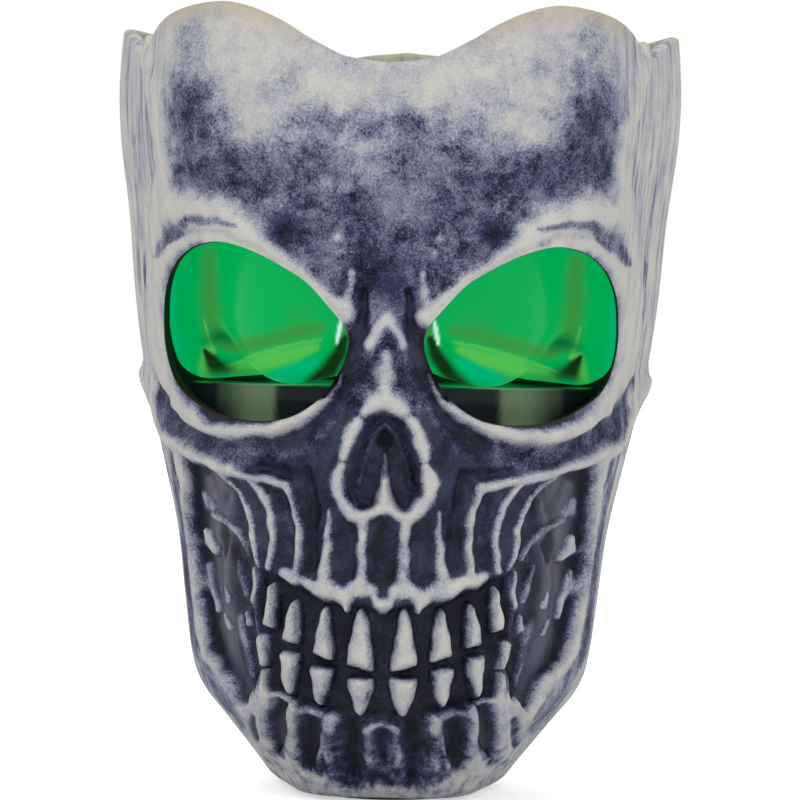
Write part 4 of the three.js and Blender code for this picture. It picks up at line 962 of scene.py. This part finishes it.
def paint_shell(shell):
    """Stores where the paint lies, as values on the shell's points."""
    mesh = shell.data
    co = np.empty(len(mesh.vertices) * 3)
    mesh.vertices.foreach_get("co", co)
    x, y, z = co.reshape(-1, 3).T
    height = z - shell_low.z
    turn = np.arctan2(x, -y)
    level, bone, gloss = carve(turn, height)
    skin = body_radius(turn, height) + level
    behind = np.clip((skin - np.hypot(x, y)) / wall_at(height), 0, 1)
    drop = rim_height(turn) - height
    bone += (RIM_PAINT - bone) * smooth_ramp(RIM_PAINT_REACH, 0, drop)
    bone = np.where(behind > 0.5, RIM_PAINT, bone)
    behind *= smooth_ramp(*INSIDE_FROM_RIM, drop) * smooth_ramp(*INSIDE_FROM_CHIN, height)
    on_lobe = smooth_ramp(*RIM_TAN_SHARES, 0.5 + 0.5 * lobe(turn))
    tan = smooth_ramp(RIM_TAN_REACH, 0, drop) * RIM_TAN * on_lobe
    across, up = sheet_place(turn, height)
    values = {
        "bone_paint": bone, "bare_gloss": gloss, "behind_skin": behind, "rim_tan": tan,
        "brushed_side": (smooth_ramp(*BRUSHED_SIDE_SHARES, np.abs(across))
                         + smooth_ramp(*BRUSHED_CHIN_SHARES, up)),
    }
    for name, value in values.items():
        store(shell, name, value)


shell_points, shell_faces = ring_skin(shell_rings(), (0, 0, 0), (0, 0, FLOOR_THICKNESS))
skull = solid_piece("skull", shell_points + np.array([0, 0, shell_low.z]), shell_faces)
combine(skull, [eye_cutter(1), eye_cutter(-1), *map(screw_cutter, screw_places)], "DIFFERENCE")
paint_shell(skull)
seat(skull, skull_finish(), "skull", "skull_shell", SKULL_SHARP_EDGE)


# Stand
# A drum of dark glossy plastic, open below, on which the green cup stands. Its foot is narrow and
# it widens upwards as the skull does. Inside it are three screw bosses with webs.
stand_low, stand_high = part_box("inner_stand")
STAND_COLOUR = (0.012, 0.013, 0.018, 1)
STAND_HAZE_COLOUR = (0.02, 0.021, 0.028, 1)
STAND_GLOSS = 0.04
STAND_ROWS = 110
DISC_STEPS = 40
STAND_WALL = 2.4 * MM
STAND_TOP_THICKNESS = 2.6 * MM
STAND_CLEARANCE = 0.8 * MM
STAND_EDGE = 0.6 * MM
BOSS_RADIUS = 3.1 * MM
BOSS_HEIGHT = 10.5 * MM
SCREW_DEPTH = 9 * MM
SHEEN_COLOUR = (0.1, 0.16, 0.075, 1)
SHEEN_DARK = (0.0, 0.003, 0.001, 1)
SHEEN_STRENGTH = 0.9
# A painted reflection of the lit cup on the drum's side, as a faint glow: where it lies, and where
# it fades outwards and downwards, as shares of the face's sheet
SHEEN_SHARES = [(0.139, 0.55), (0.141, 0.47), (0.195, 0.46), (0.214, 0.475), (0.214, 0.55)]
SHEEN_EDGE_SHARE = 0.005
SHEEN_OUT_SHARES = (0.165, 0.212)
SHEEN_LOW_SHARES = (0.51, 0.48)
SHEEN_OUT_FADE = 0.75
SHEEN_LOW_FADE = 0.25
SHEEN_FRONT = (-5 * MM, -12 * MM)
stand_finish, stand_tree, stand_shader = finish("dark_gloss_plastic")
stand_haze = speckle(stand_tree, 160, 3.0)
sheen = node(stand_tree, "ShaderNodeAttribute", attribute_name="cup_sheen")["Fac"]
feed(stand_tree, stand_shader,
     Base_Color=mixed(stand_tree, stand_haze, STAND_COLOUR, STAND_HAZE_COLOUR),
     Emission_Color=mixed(stand_tree, sheen, SHEEN_DARK, SHEEN_COLOUR), Emission_Strength=SHEEN_STRENGTH,
     Roughness=spread(stand_tree, stand_haze, 0.3, 0.7, 0.16, 0.3), Specular_IOR_Level=STAND_GLOSS,
     Normal=bumped(stand_tree, speckle(stand_tree, 700), 0.01 * MM))


def cavity_radius(height):
    """The skull's narrowest inner radius, in a valley between two lobes."""
    share = np.clip((height - shell_low.z) / SKULL_HEIGHT, 0, 1)
    narrow = TOP_RADIUS * curve_through(BODY_SHARES, share) * (1 - LOBE_DEPTH_SHARE)
    return narrow - wall_at(height - shell_low.z)


def sheet_places(points):
    """Unsigned share across and share up for points of the model, as the camera sees them."""
    across, up = sheet_point(points[:, 0], points[:, 1], points[:, 2] - shell_low.z)
    return np.abs(across) / SHEET_WIDTH, (up - sheet_low) / (sheet_high - sheet_low)


def stand_profile():
    """The drum's outside up to the axis, then its inside down from it."""
    heights = np.linspace(stand_low.z, stand_high.z, STAND_ROWS)
    ceiling = stand_high.z - STAND_TOP_THICKNESS
    outer = [(min(stand_high.x, float(cavity_radius(h)) - STAND_CLEARANCE), h, 0) for h in heights[:-1]]
    inner = [(radius - STAND_WALL, h, 0) for radius, h, _ in reversed(outer) if h < ceiling - OVERRUN]
    top = [(stand_high.x, stand_high.z, STAND_EDGE), (0, stand_high.z, 0)]
    hollow = [(0, ceiling, 0), (stand_high.x - STAND_WALL, ceiling, STAND_EDGE), *inner]
    return rounded([*outer, *top]), rounded(hollow)


def open_drum(outer, inner):
    """A hollow turned piece, open below."""
    turns = full_turn(2 * FINE_TURN)
    rings = np.array([around(turns, radius, height) for radius, height in [*outer[:-1], *inner[1:]]])
    count, up = len(turns), len(outer) - 1
    down = len(rings) - up
    faces = ring_faces(up, count) + ring_faces(down, count, up * count)
    points = np.concatenate([rings.reshape(-1, 3), [(0, 0, outer[-1][1]), (0, 0, inner[0][1])]])
    top, ceiling = len(points) - 2, len(points) - 1
    for i in range(count):
        j = (i + 1) % count
        faces.append(((up - 1) * count + i, (up - 1) * count + j, top))
        faces.append((ceiling, up * count + j, up * count + i))
        faces.append(((up + down - 1) * count + i, (up + down - 1) * count + j, j, i))
    return points, faces


def web(place):
    """A web from a boss out to the drum's wall."""
    reach = float(cavity_radius(stand_low.z)) - STAND_CLEARANCE - OVERRUN
    out = place.normalized()
    aside = Vector((-out.y, out.x)) * STAND_WALL / 2
    corners = [place - aside, out * reach - aside, out * reach + aside, place + aside]
    high = stand_low.z + BOSS_HEIGHT
    points = [(*corner, z) for z in (stand_low.z, high) for corner in corners]
    sides = [(i, (i + 1) % 4, 4 + (i + 1) % 4, 4 + i) for i in range(4)]
    return solid_piece("web", points, [(3, 2, 1, 0), (4, 5, 6, 7), *sides])


def discs(radius, low, high):
    """A disc at each screw, from low to high above the stand's foot."""
    corners = [(0, low), (radius, low), (radius, high), (0, high)]
    profile = [(across, stand_low.z + up) for across, up in corners]
    return [solid_piece("disc", *turned(profile, DISC_STEPS, place)) for place in screw_places]


stand = solid_piece("stand", *open_drum(*stand_profile()))
combine(stand, [*discs(BOSS_RADIUS, 0, BOSS_HEIGHT), *map(web, screw_places)], "UNION")
combine(stand, discs(HOLE_RADIUS, -OVERRUN, SCREW_DEPTH), "DIFFERENCE")
# The painted reflection of the lit cup, stored on the drum's points
stand_points = np.array([vertex.co for vertex in stand.data.vertices])
stand_across, stand_up = sheet_places(stand_points)
sheen_depth = patch_depth(stand_across, stand_up, np.array(SHEEN_SHARES))
sheen_fade = 1 - SHEEN_OUT_FADE * smooth_ramp(*SHEEN_OUT_SHARES, stand_across)
sheen_fade -= SHEEN_LOW_FADE * smooth_ramp(*SHEEN_LOW_SHARES, stand_up)
sheen_cover = smooth_ramp(-SHEEN_EDGE_SHARE, SHEEN_EDGE_SHARE, sheen_depth)
in_front = smooth_ramp(*SHEEN_FRONT, stand_points[:, 1])
store(stand, "cup_sheen", sheen_cover * sheen_fade * in_front)
seat(stand, stand_finish, "skull", "inner_stand")


# Screws
# Three small zinc plated screws with cross recesses, driven up through the skull's floor into
# the stand's bosses.
ZINC_COLOUR = (0.6, 0.6, 0.61, 1)
ZINC_DULL_COLOUR = (0.42, 0.43, 0.46, 1)
ZINC_ROUGHNESS = (0.22, 0.45)
ZINC_NOISE = (1800, 3.0, 0.6, 0.0, (1, 1, 8))


def metal(name, noise, bright, dull, roughness):
    """A bare metal's finish, with marks that are duller and rougher."""
    material, tree, shader = finish(name)
    worn = speckle(tree, *noise)
    feed(tree, shader, Base_Color=mixed(tree, worn, bright, dull), Metallic=1.0,
         Roughness=spread(tree, worn, 0.2, 0.8, *roughness))
    return material


def dress(node_name, material):
    """Gives a CAD node its finish."""
    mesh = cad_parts[node_name].data
    mesh.materials.clear()
    mesh.materials.append(material)


zinc = metal("zinc_plate", ZINC_NOISE, ZINC_COLOUR, ZINC_DULL_COLOUR, ZINC_ROUGHNESS)
for name in SCREW_NAMES:
    dress(name, zinc)


# Green cup
# A six-lobed cup of clear green plastic, moulded in one piece. Each lobe ends in a rounded foot
# round a flat ring. The whole wall glows with painted light, as if lit by the tea light in it.
cup_low, cup_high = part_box("votive_liner")
CUP_HEIGHT = cup_high.z - cup_low.z
CUP_WALL = 2.2 * MM
CUP_FLOOR = 6 * MM
CUP_FOOT = 8 * MM
CUP_CLEARANCE = 0.4 * MM
CUP_LOBE_COUNT = 6
CUP_LOBE_DEPTH_SHARE = 0.05
CUP_STRAIGHT_SHARE = 0.8
CUP_GREEN = (0.0, 0.4, 0.083, 1)
CUP_CLOUD_GREEN = (0.0, 0.375, 0.078, 1)
CUP_LIME = (0.075, 0.48, 0.075, 1)
CUP_OLIVE = (0.034, 0.28, 0.052, 1)
CUP_TEAL = (0.0, 0.43, 0.17, 1)
CUP_GLINT = (0.55, 0.9, 0.8, 1)
CUP_SHADE = (0.006, 0.03, 0.006, 1)
# Colour of the painted shade inside the cup
CUP_INNER_SHADE = (0.0, 0.15, 0.035, 1)
CUP_GLOW = 0.97
CUP_UNLIT_SHARE = 0.88
CUP_FINE_TURN = 600
CUP_WALL_ROWS = 70
CUP_LIP_STEPS = 9
# Shares of the foot's ring, of the height and of the floor at which the cup's rings stand
CUP_UNDER_SHARES = (0.3, 0.6, 0.85)
CUP_WALL_SHARES = (0.3, 0.965)
CUP_FLOOR_SHARES = (0.8, 0.4)
CUP_DISH_SHARE = 0.5
# The foot: [share of the foot's size inwards, share upwards, how much of the valley's lift it takes]
CUP_FOOT_SHARES = [
    (1, 0.04, 0.5), (0.5, 0, 0.58), (0.27, 0.06, 0.68), (0.1, 0.24, 0.76), (0.02, 0.6, 0.56),
    (0, 1, 0.26),
]
# The inside: [share of the height, share of the foot's size inwards]
CUP_INNER_SHARES = [
    (0.94, 0), (0.8, 0), (0.62, 0), (0.42, 0.02), (0.26, 0.1), (0.18, 0.32), (0.154, 0.56),
]


def cup_radius(turns, height):
    straight = shell_low.z + CUP_STRAIGHT_SHARE * SKULL_HEIGHT
    on_lobe = cavity_radius(np.minimum(cup_low.z + height, straight)) - CUP_CLEARANCE
    return on_lobe * (1 - CUP_LOBE_DEPTH_SHARE * (1 - lobe(turns, CUP_LOBE_COUNT)))


def smooth_rows(rows, steps):
    """More rows between the rows of a table, on smooth curves."""
    table = np.array(rows, float)
    places = np.linspace(0, len(table) - 1, (len(table) - 1) * steps + 1)
    columns = [curve_through(list(zip(range(len(table)), column)), places) for column in table.T]
    return np.stack(columns, axis=-1)


def cup_rings():
    turns = np.linspace(-math.pi, math.pi, CUP_FINE_TURN, endpoint=False)
    valley = (1 - lobe(turns, CUP_LOBE_COUNT)) / 2
    foot_ring = cup_radius(turns, 0 * turns) - CUP_FOOT
    dish = CUP_FOOT * CUP_DISH_SHARE
    rings = [around(turns, foot_ring * share, dish * (1 - share) + dish * valley * share)
             for share in CUP_UNDER_SHARES]
    for inward, upward, valley_lift in smooth_rows(CUP_FOOT_SHARES, 8):
        height = CUP_FOOT * np.maximum(upward + valley_lift * valley, 0)
        rings.append(around(turns, cup_radius(turns, height) - CUP_FOOT * inward, height))
    for share in np.linspace(*CUP_WALL_SHARES, CUP_WALL_ROWS):
        height = CUP_HEIGHT * share + 0 * turns
        rings.append(around(turns, cup_radius(turns, height), height))
    lip = CUP_WALL / 2
    top_radius = cup_radius(turns, CUP_HEIGHT + 0 * turns)
    for step in np.linspace(0, math.pi, CUP_LIP_STEPS):
        rings.append(around(turns, top_radius - lip * (1 - math.cos(step)),
                            CUP_HEIGHT - lip * (1 - math.sin(step))))
    for upward, inward in smooth_rows(CUP_INNER_SHARES, 4):
        height = np.maximum(CUP_HEIGHT * upward, CUP_FLOOR) + 0 * turns
        rings.append(around(turns, cup_radius(turns, height) - CUP_WALL - CUP_FOOT * inward, height))
    floor_inward = CUP_WALL + CUP_FOOT * CUP_INNER_SHARES[-1][1]
    floor_radius = cup_radius(turns, CUP_FLOOR + 0 * turns) - floor_inward
    rings += [around(turns, floor_radius * share, CUP_FLOOR) for share in CUP_FLOOR_SHARES]
    return np.array(rings)


# Painted light in the cup's wall, where it bends, mirrors and shades at the folds: each tint and its
# colour
CUP_TINTS = {
    "teal_glow": CUP_TEAL, "olive_glow": CUP_OLIVE, "lime_glow": CUP_LIME, "crease_glow": CUP_LIME,
    "fold_shade": CUP_SHADE, "glint": CUP_GLINT,
}
# Where each tint lies, as shares of the face's sheet: [tint, where its edge fades in half widths, rows
# of across, up, half width]
CUP_LIGHTS = [
    ("olive_glow", (0.0, 1.8), (0.2275, 0.68, 0.01), (0.2275, 0.62, 0.013), (0.22, 0.585, 0.013),
     (0.2, 0.568, 0.009)),
    ("olive_glow", (0.0, 1.8), (0.195, 0.566, 0.008), (0.15, 0.575, 0.011), (0.11, 0.588, 0.011),
     (0.085, 0.592, 0.008)),
    ("olive_glow", (0.2, 1.5), (0.052, 0.59, 0.006), (0.058, 0.57, 0.007), (0.066, 0.555, 0.006)),
    ("lime_glow", (0.2, 1.4), (0.229, 0.56, 0.009), (0.2335, 0.537, 0.01), (0.24, 0.515, 0.007)),
    ("lime_glow", (0.3, 1.3), (0.2, 0.535, 0.006), (0.175, 0.542, 0.011), (0.15, 0.55, 0.014),
     (0.12, 0.558, 0.011), (0.09, 0.568, 0.006)),
    ("teal_glow", (0.0, 1.7), (0.28, 0.65, 0.008), (0.281, 0.6, 0.011), (0.274, 0.56, 0.01),
     (0.262, 0.53, 0.007)),
    ("teal_glow", (0.0, 1.6), (0.135, 0.533, 0.011), (0.11, 0.541, 0.012), (0.09, 0.552, 0.008)),
    ("crease_glow", (0.2, 1.5), (0.2345, 0.6, 0.001), (0.2285, 0.578, 0.0022), (0.2215, 0.56, 0.0025)),
    ("crease_glow", (0.2, 1.6), (0.207, 0.5415, 0.0018), (0.17, 0.5555, 0.0022), (0.125, 0.5695, 0.0022),
     (0.083, 0.5775, 0.0016)),
    ("fold_shade", (0.4, 1.3), (0.234, 0.562, 0.003), (0.2245, 0.548, 0.011), (0.2145, 0.53, 0.021),
     (0.193, 0.512, 0.026), (0.17, 0.5, 0.024)),
    ("fold_shade", (0.3, 1.4), (0.095, 0.519, 0.012), (0.076, 0.536, 0.013), (0.059, 0.562, 0.01),
     (0.053, 0.58, 0.005)),
    ("glint", (0.3, 1.2), (0.0585, 0.602, 0.0022), (0.0605, 0.588, 0.0034), (0.0635, 0.574, 0.002)),
]
CUP_FRONT = (0, -6 * MM)


def cup_finish():
    """Clear green plastic with a painted glow as if lit from inside, and painted olive and lime where the
    light bends at the folds.
    """
    material, tree, shader = finish("clear_green_plastic")
    wander_fine = weighted(tree, 0.8, (speckle(tree, 300, 2.0, 0.5, 0.3), 0.4))
    cloud = spread(tree, speckle(tree, 45, 1.0), 0.3, 0.7)
    colour = mixed(tree, cloud, CUP_GREEN, CUP_CLOUD_GREEN)
    for name, tint in CUP_TINTS.items():
        share = node(tree, "ShaderNodeAttribute", attribute_name=name)["Fac"]
        colour = mixed(tree, arithmetic(tree, "MULTIPLY", share, wander_fine), colour, tint)
    # Painted shade inside the cup, darker towards its foot and in its folds
    deep = node(tree, "ShaderNodeAttribute", attribute_name="cup_inner_shade")["Fac"]
    colour = mixed(tree, deep, colour, CUP_INNER_SHADE)
    unlit = mixed(tree, CUP_UNLIT_SHARE, colour, (0, 0, 0, 1))
    feed(tree, shader, Base_Color=unlit, Roughness=0.25, IOR=1.49,
         Emission_Color=colour, Emission_Strength=CUP_GLOW, Specular_IOR_Level=0.05,
         Normal=bumped(tree, speckle(tree, 90, 1.0), 0.03 * MM))
    return material


cup_points, cup_faces = ring_skin(cup_rings(), (0, 0, CUP_FOOT * CUP_DISH_SHARE), (0, 0, CUP_FLOOR))
cup_points = cup_points + np.array([0, 0, cup_low.z])
cup = solid_piece("green_cup", cup_points, cup_faces)
cup_across, cup_up = sheet_places(cup_points)
in_front = smooth_ramp(*CUP_FRONT, cup_points[:, 1])
for name in CUP_TINTS:
    cover = 0 * cup_across
    for _, edges, *rows in (light for light in CUP_LIGHTS if light[0] == name):
        reach = line_reach(cup_across, cup_up, np.array(rows))
        cover = np.maximum(cover, 1 - smooth_ramp(*edges, reach))
    store(cup, name, cover * in_front)

# Painted shade: inside, the wall is darker towards its foot and in the folds between the lobes.
CUP_WITHIN_REACH = (0.4 * CUP_WALL, 0.9 * CUP_WALL)
CUP_DARK_SHARES = (0.1, 0.16)
CUP_LIT_SHARES = (0.1, 1.0)
CUP_FOOT_DARK = 0.75
CUP_LIT_FADE = 0.6
CUP_FOLD_DARK = 0.25
cup_turn = np.arctan2(cup_points[:, 0], -cup_points[:, 1])
cup_up_share = (cup_points[:, 2] - cup_low.z) / CUP_HEIGHT
cup_skin = cup_radius(cup_turn, cup_points[:, 2] - cup_low.z)
cup_reach = np.hypot(cup_points[:, 0], cup_points[:, 1])
within = smooth_ramp(*CUP_WITHIN_REACH, cup_skin - cup_reach)
fold = ((1 - lobe(cup_turn, CUP_LOBE_COUNT)) / 2) ** 2
in_light = smooth_ramp(*CUP_LIT_SHARES, cup_up_share)
cup_dark = CUP_FOOT_DARK - CUP_LIT_FADE * in_light + CUP_FOLD_DARK * fold
store(cup, "cup_inner_shade", within * smooth_ramp(*CUP_DARK_SHARES, cup_up_share) * cup_dark)
seat(cup, cup_finish(), "liner", "votive_liner")


# Tea light case
# The battery tea light's white moulded case, a cup upside down with a dished top, and its bottom
# plate, with the round battery door and the switch.
TEA_COLOUR = (0.8, 0.78, 0.7, 1)
TEA_BRIGHT_COLOUR = (0.86, 0.84, 0.77, 1)
TEA_DEPTH = 1.5 * MM
TEA_WALL = 1.2 * MM
TEA_EDGE = 0.5 * MM
TEA_RIM_EDGE = 0.8 * MM
TEA_RIM_WIDTH = 1.8 * MM
TEA_DISH = 1.6 * MM
TEA_DISH_SLOPE = 1.2 * MM
FLAME_HOLE = 4.9 * MM
tea_low, tea_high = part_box("tealight_body")
tea_finish, tea_tree, tea_shader = finish("white_moulded_plastic")
tea_cloud = speckle(tea_tree, 220, 2.0)
feed(tea_tree, tea_shader,
     Base_Color=mixed(tea_tree, tea_cloud, TEA_COLOUR, TEA_BRIGHT_COLOUR),
     Roughness=0.42, Subsurface_Weight=0.15, Subsurface_Scale=TEA_DEPTH,
     Normal=bumped(tea_tree, speckle(tea_tree, 1600, 2.0), 0.02 * MM))


def hoop(section):
    """A turned piece whose section is a closed loop beside the axis."""
    turns = full_turn()
    rings = np.array([around(turns, radius, height) for radius, height in [*section, section[0]]])
    count = len(turns)
    faces = np.array(ring_faces(len(rings), count)) % (len(section) * count)
    return rings[:-1].reshape(-1, 3), faces.tolist()


def tea_section():
    inside, outside = tea_high.x - TEA_WALL, tea_high.x
    low, top = tea_low.z, tea_high.z
    dish = top - TEA_DISH
    rim_inner = outside - TEA_RIM_WIDTH
    return rounded([
        (inside, low, 0), (outside, low, TEA_EDGE / 2), (outside, top, TEA_RIM_EDGE),
        (rim_inner, top, TEA_EDGE), (rim_inner - TEA_DISH_SLOPE, dish, TEA_EDGE),
        (FLAME_HOLE, dish, TEA_EDGE / 2), (FLAME_HOLE, dish - TEA_WALL, 0),
        (inside, dish - TEA_WALL, TEA_EDGE / 2), (inside, (low + dish) / 2, 0),
    ])


tea_case = solid_piece("tea_light_case", *hoop(tea_section()))
seat(tea_case, tea_finish, "tealight", "tealight_body")
for name in ("tealight_base", "tealight_battery_door"):
    dress(name, tea_finish)


# Switch
# A small black sliding knob with a ribbed grip, in a slot of the bottom plate.
SWITCH_COLOUR = (0.02, 0.02, 0.02, 1)
SWITCH_RIB_COLOUR = (0.045, 0.045, 0.045, 1)
switch_finish, switch_tree, switch_shader = finish("black_knob")
ribs = speckle(switch_tree, 900, 2.0, 0.5, 0.0, (1, 4, 1))
feed(switch_tree, switch_shader,
     Base_Color=mixed(switch_tree, ribs, SWITCH_COLOUR, SWITCH_RIB_COLOUR),
     Roughness=0.5, Normal=bumped(switch_tree, ribs, 0.05 * MM))
dress("tealight_switch", switch_finish)


# Coin cell
# A round steel can with a brushed face, which lies flat above the door.
STEEL_COLOUR = (0.62, 0.63, 0.64, 1)
STEEL_DULL_COLOUR = (0.5, 0.51, 0.53, 1)
STEEL_ROUGHNESS = (0.22, 0.4)
BRUSHED_NOISE = (1500, 3.0, 0.6, 0.0, (0.08, 1.5, 1))
dress("tealight_battery", metal(
    "brushed_steel_can", BRUSHED_NOISE, STEEL_COLOUR, STEEL_DULL_COLOUR, STEEL_ROUGHNESS))


# Contact strips
# Two bent strips of spring brass that join the cell to the board.
BRASS_COLOUR = (0.72, 0.56, 0.28, 1)
BRASS_DULL_COLOUR = (0.55, 0.4, 0.18, 1)
BRASS_ROUGHNESS = (0.2, 0.42)
TARNISH_NOISE = (700, 3.0, 0.6)
brass = metal("spring_brass", TARNISH_NOISE, BRASS_COLOUR, BRASS_DULL_COLOUR, BRASS_ROUGHNESS)
for name in ("tealight_contact_minus", "tealight_contact_plus"):
    dress(name, brass)


# Circuit board
# A small board of glass fibre under green resist, on two posts over the cell.
BOARD_COLOUR = (0.015, 0.11, 0.04, 1)
TRACK_COLOUR = (0.03, 0.2, 0.08, 1)
board_finish, board_tree, board_shader = finish("green_resist")
tracks = spread(board_tree, speckle(board_tree, 420, 0.0, 0.0, 0.0, (1, 3, 1)), 0.5, 0.54)
feed(board_tree, board_shader,
     Base_Color=mixed(board_tree, tracks, BOARD_COLOUR, TRACK_COLOUR),
     Roughness=0.3, Normal=bumped(board_tree, tracks, 0.03 * MM))
dress("tealight_circuit", board_finish)


# Light emitting diode
# A clear resin diode that lights warm yellow, under the flame.
LED_COLOUR = (0.95, 0.85, 0.55, 1)
LED_WARM_COLOUR = (0.95, 0.75, 0.4, 1)
LED_GLOW = 1.5
led_finish, led_tree, led_shader = finish("clear_resin")
led_colour = mixed(led_tree, speckle(led_tree, 900, 2.0), LED_COLOUR, LED_WARM_COLOUR)
feed(led_tree, led_shader, Base_Color=led_colour, Roughness=0.1, Transmission_Weight=0.6,
     Emission_Color=led_colour, Emission_Strength=LED_GLOW)
dress("tealight_led", led_finish)


# Flame
# A hollow flame of milky warm plastic over the diode, held by a flange under the case's top. Its
# colour is deepest at the root, and it glows with painted light, as if lit by the diode.
FLAME_WALL = 1.1 * MM
FLAME_RADIUS = 4.6 * MM
FLAME_ROOT_COLOUR = (0.95, 0.62, 0.24, 1)
FLAME_TIP_COLOUR = (0.9, 0.72, 0.45, 1)
FLAME_GLOW = 0.55
FLAME_DEPTH = 2 * MM
# The flame: [share of the radius, share of the height above the flange]
FLAME_SHARES = [(1, 0), (1, 0.2), (0.95, 0.35), (0.78, 0.55), (0.5, 0.75), (0.22, 0.92), (0, 1)]
flame_low, flame_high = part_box("tealight_flame")
flame_finish, flame_tree, flame_shader = finish("milky_flame")
flame_place = node(flame_tree, "ShaderNodeTexCoord")["Object"]
flame_up = node(flame_tree, "ShaderNodeSeparateXYZ", {0: flame_place})["Z"]
flame_share = spread(flame_tree, flame_up, flame_low.z, flame_high.z)
flame_colour = mixed(flame_tree, flame_share, FLAME_ROOT_COLOUR, FLAME_TIP_COLOUR)
feed(flame_tree, flame_shader, Base_Color=flame_colour, Roughness=0.35, Subsurface_Weight=0.3,
     Subsurface_Scale=FLAME_DEPTH, Emission_Color=flame_colour, Emission_Strength=FLAME_GLOW,
     Normal=bumped(flame_tree, speckle(flame_tree, 260), 0.05 * MM))


def flame_profile():
    """The flame's outside up to its tip, then its hollow down from the ceiling."""
    seat_height = flame_low.z + FLAME_WALL
    rise = flame_high.z - seat_height
    leaf = [(FLAME_RADIUS * share, seat_height + rise * up) for share, up in smooth_rows(FLAME_SHARES, 5)]
    flange = [(FLAME_RADIUS + FLAME_WALL, flame_low.z), (FLAME_RADIUS + FLAME_WALL, seat_height)]
    hollow = [(radius - FLAME_WALL, height - FLAME_WALL) for radius, height in leaf
              if radius > 2 * FLAME_WALL and height > seat_height]
    ceiling = hollow[-1][1]
    foot = (FLAME_RADIUS - FLAME_WALL, flame_low.z)
    return [foot, *flange, *leaf[:-1], (0, flame_high.z)], [(0, ceiling), *reversed(hollow), foot]


flame = solid_piece("flame", *open_drum(*flame_profile()))
seat(flame, flame_finish, "tealight", "tealight_flame")
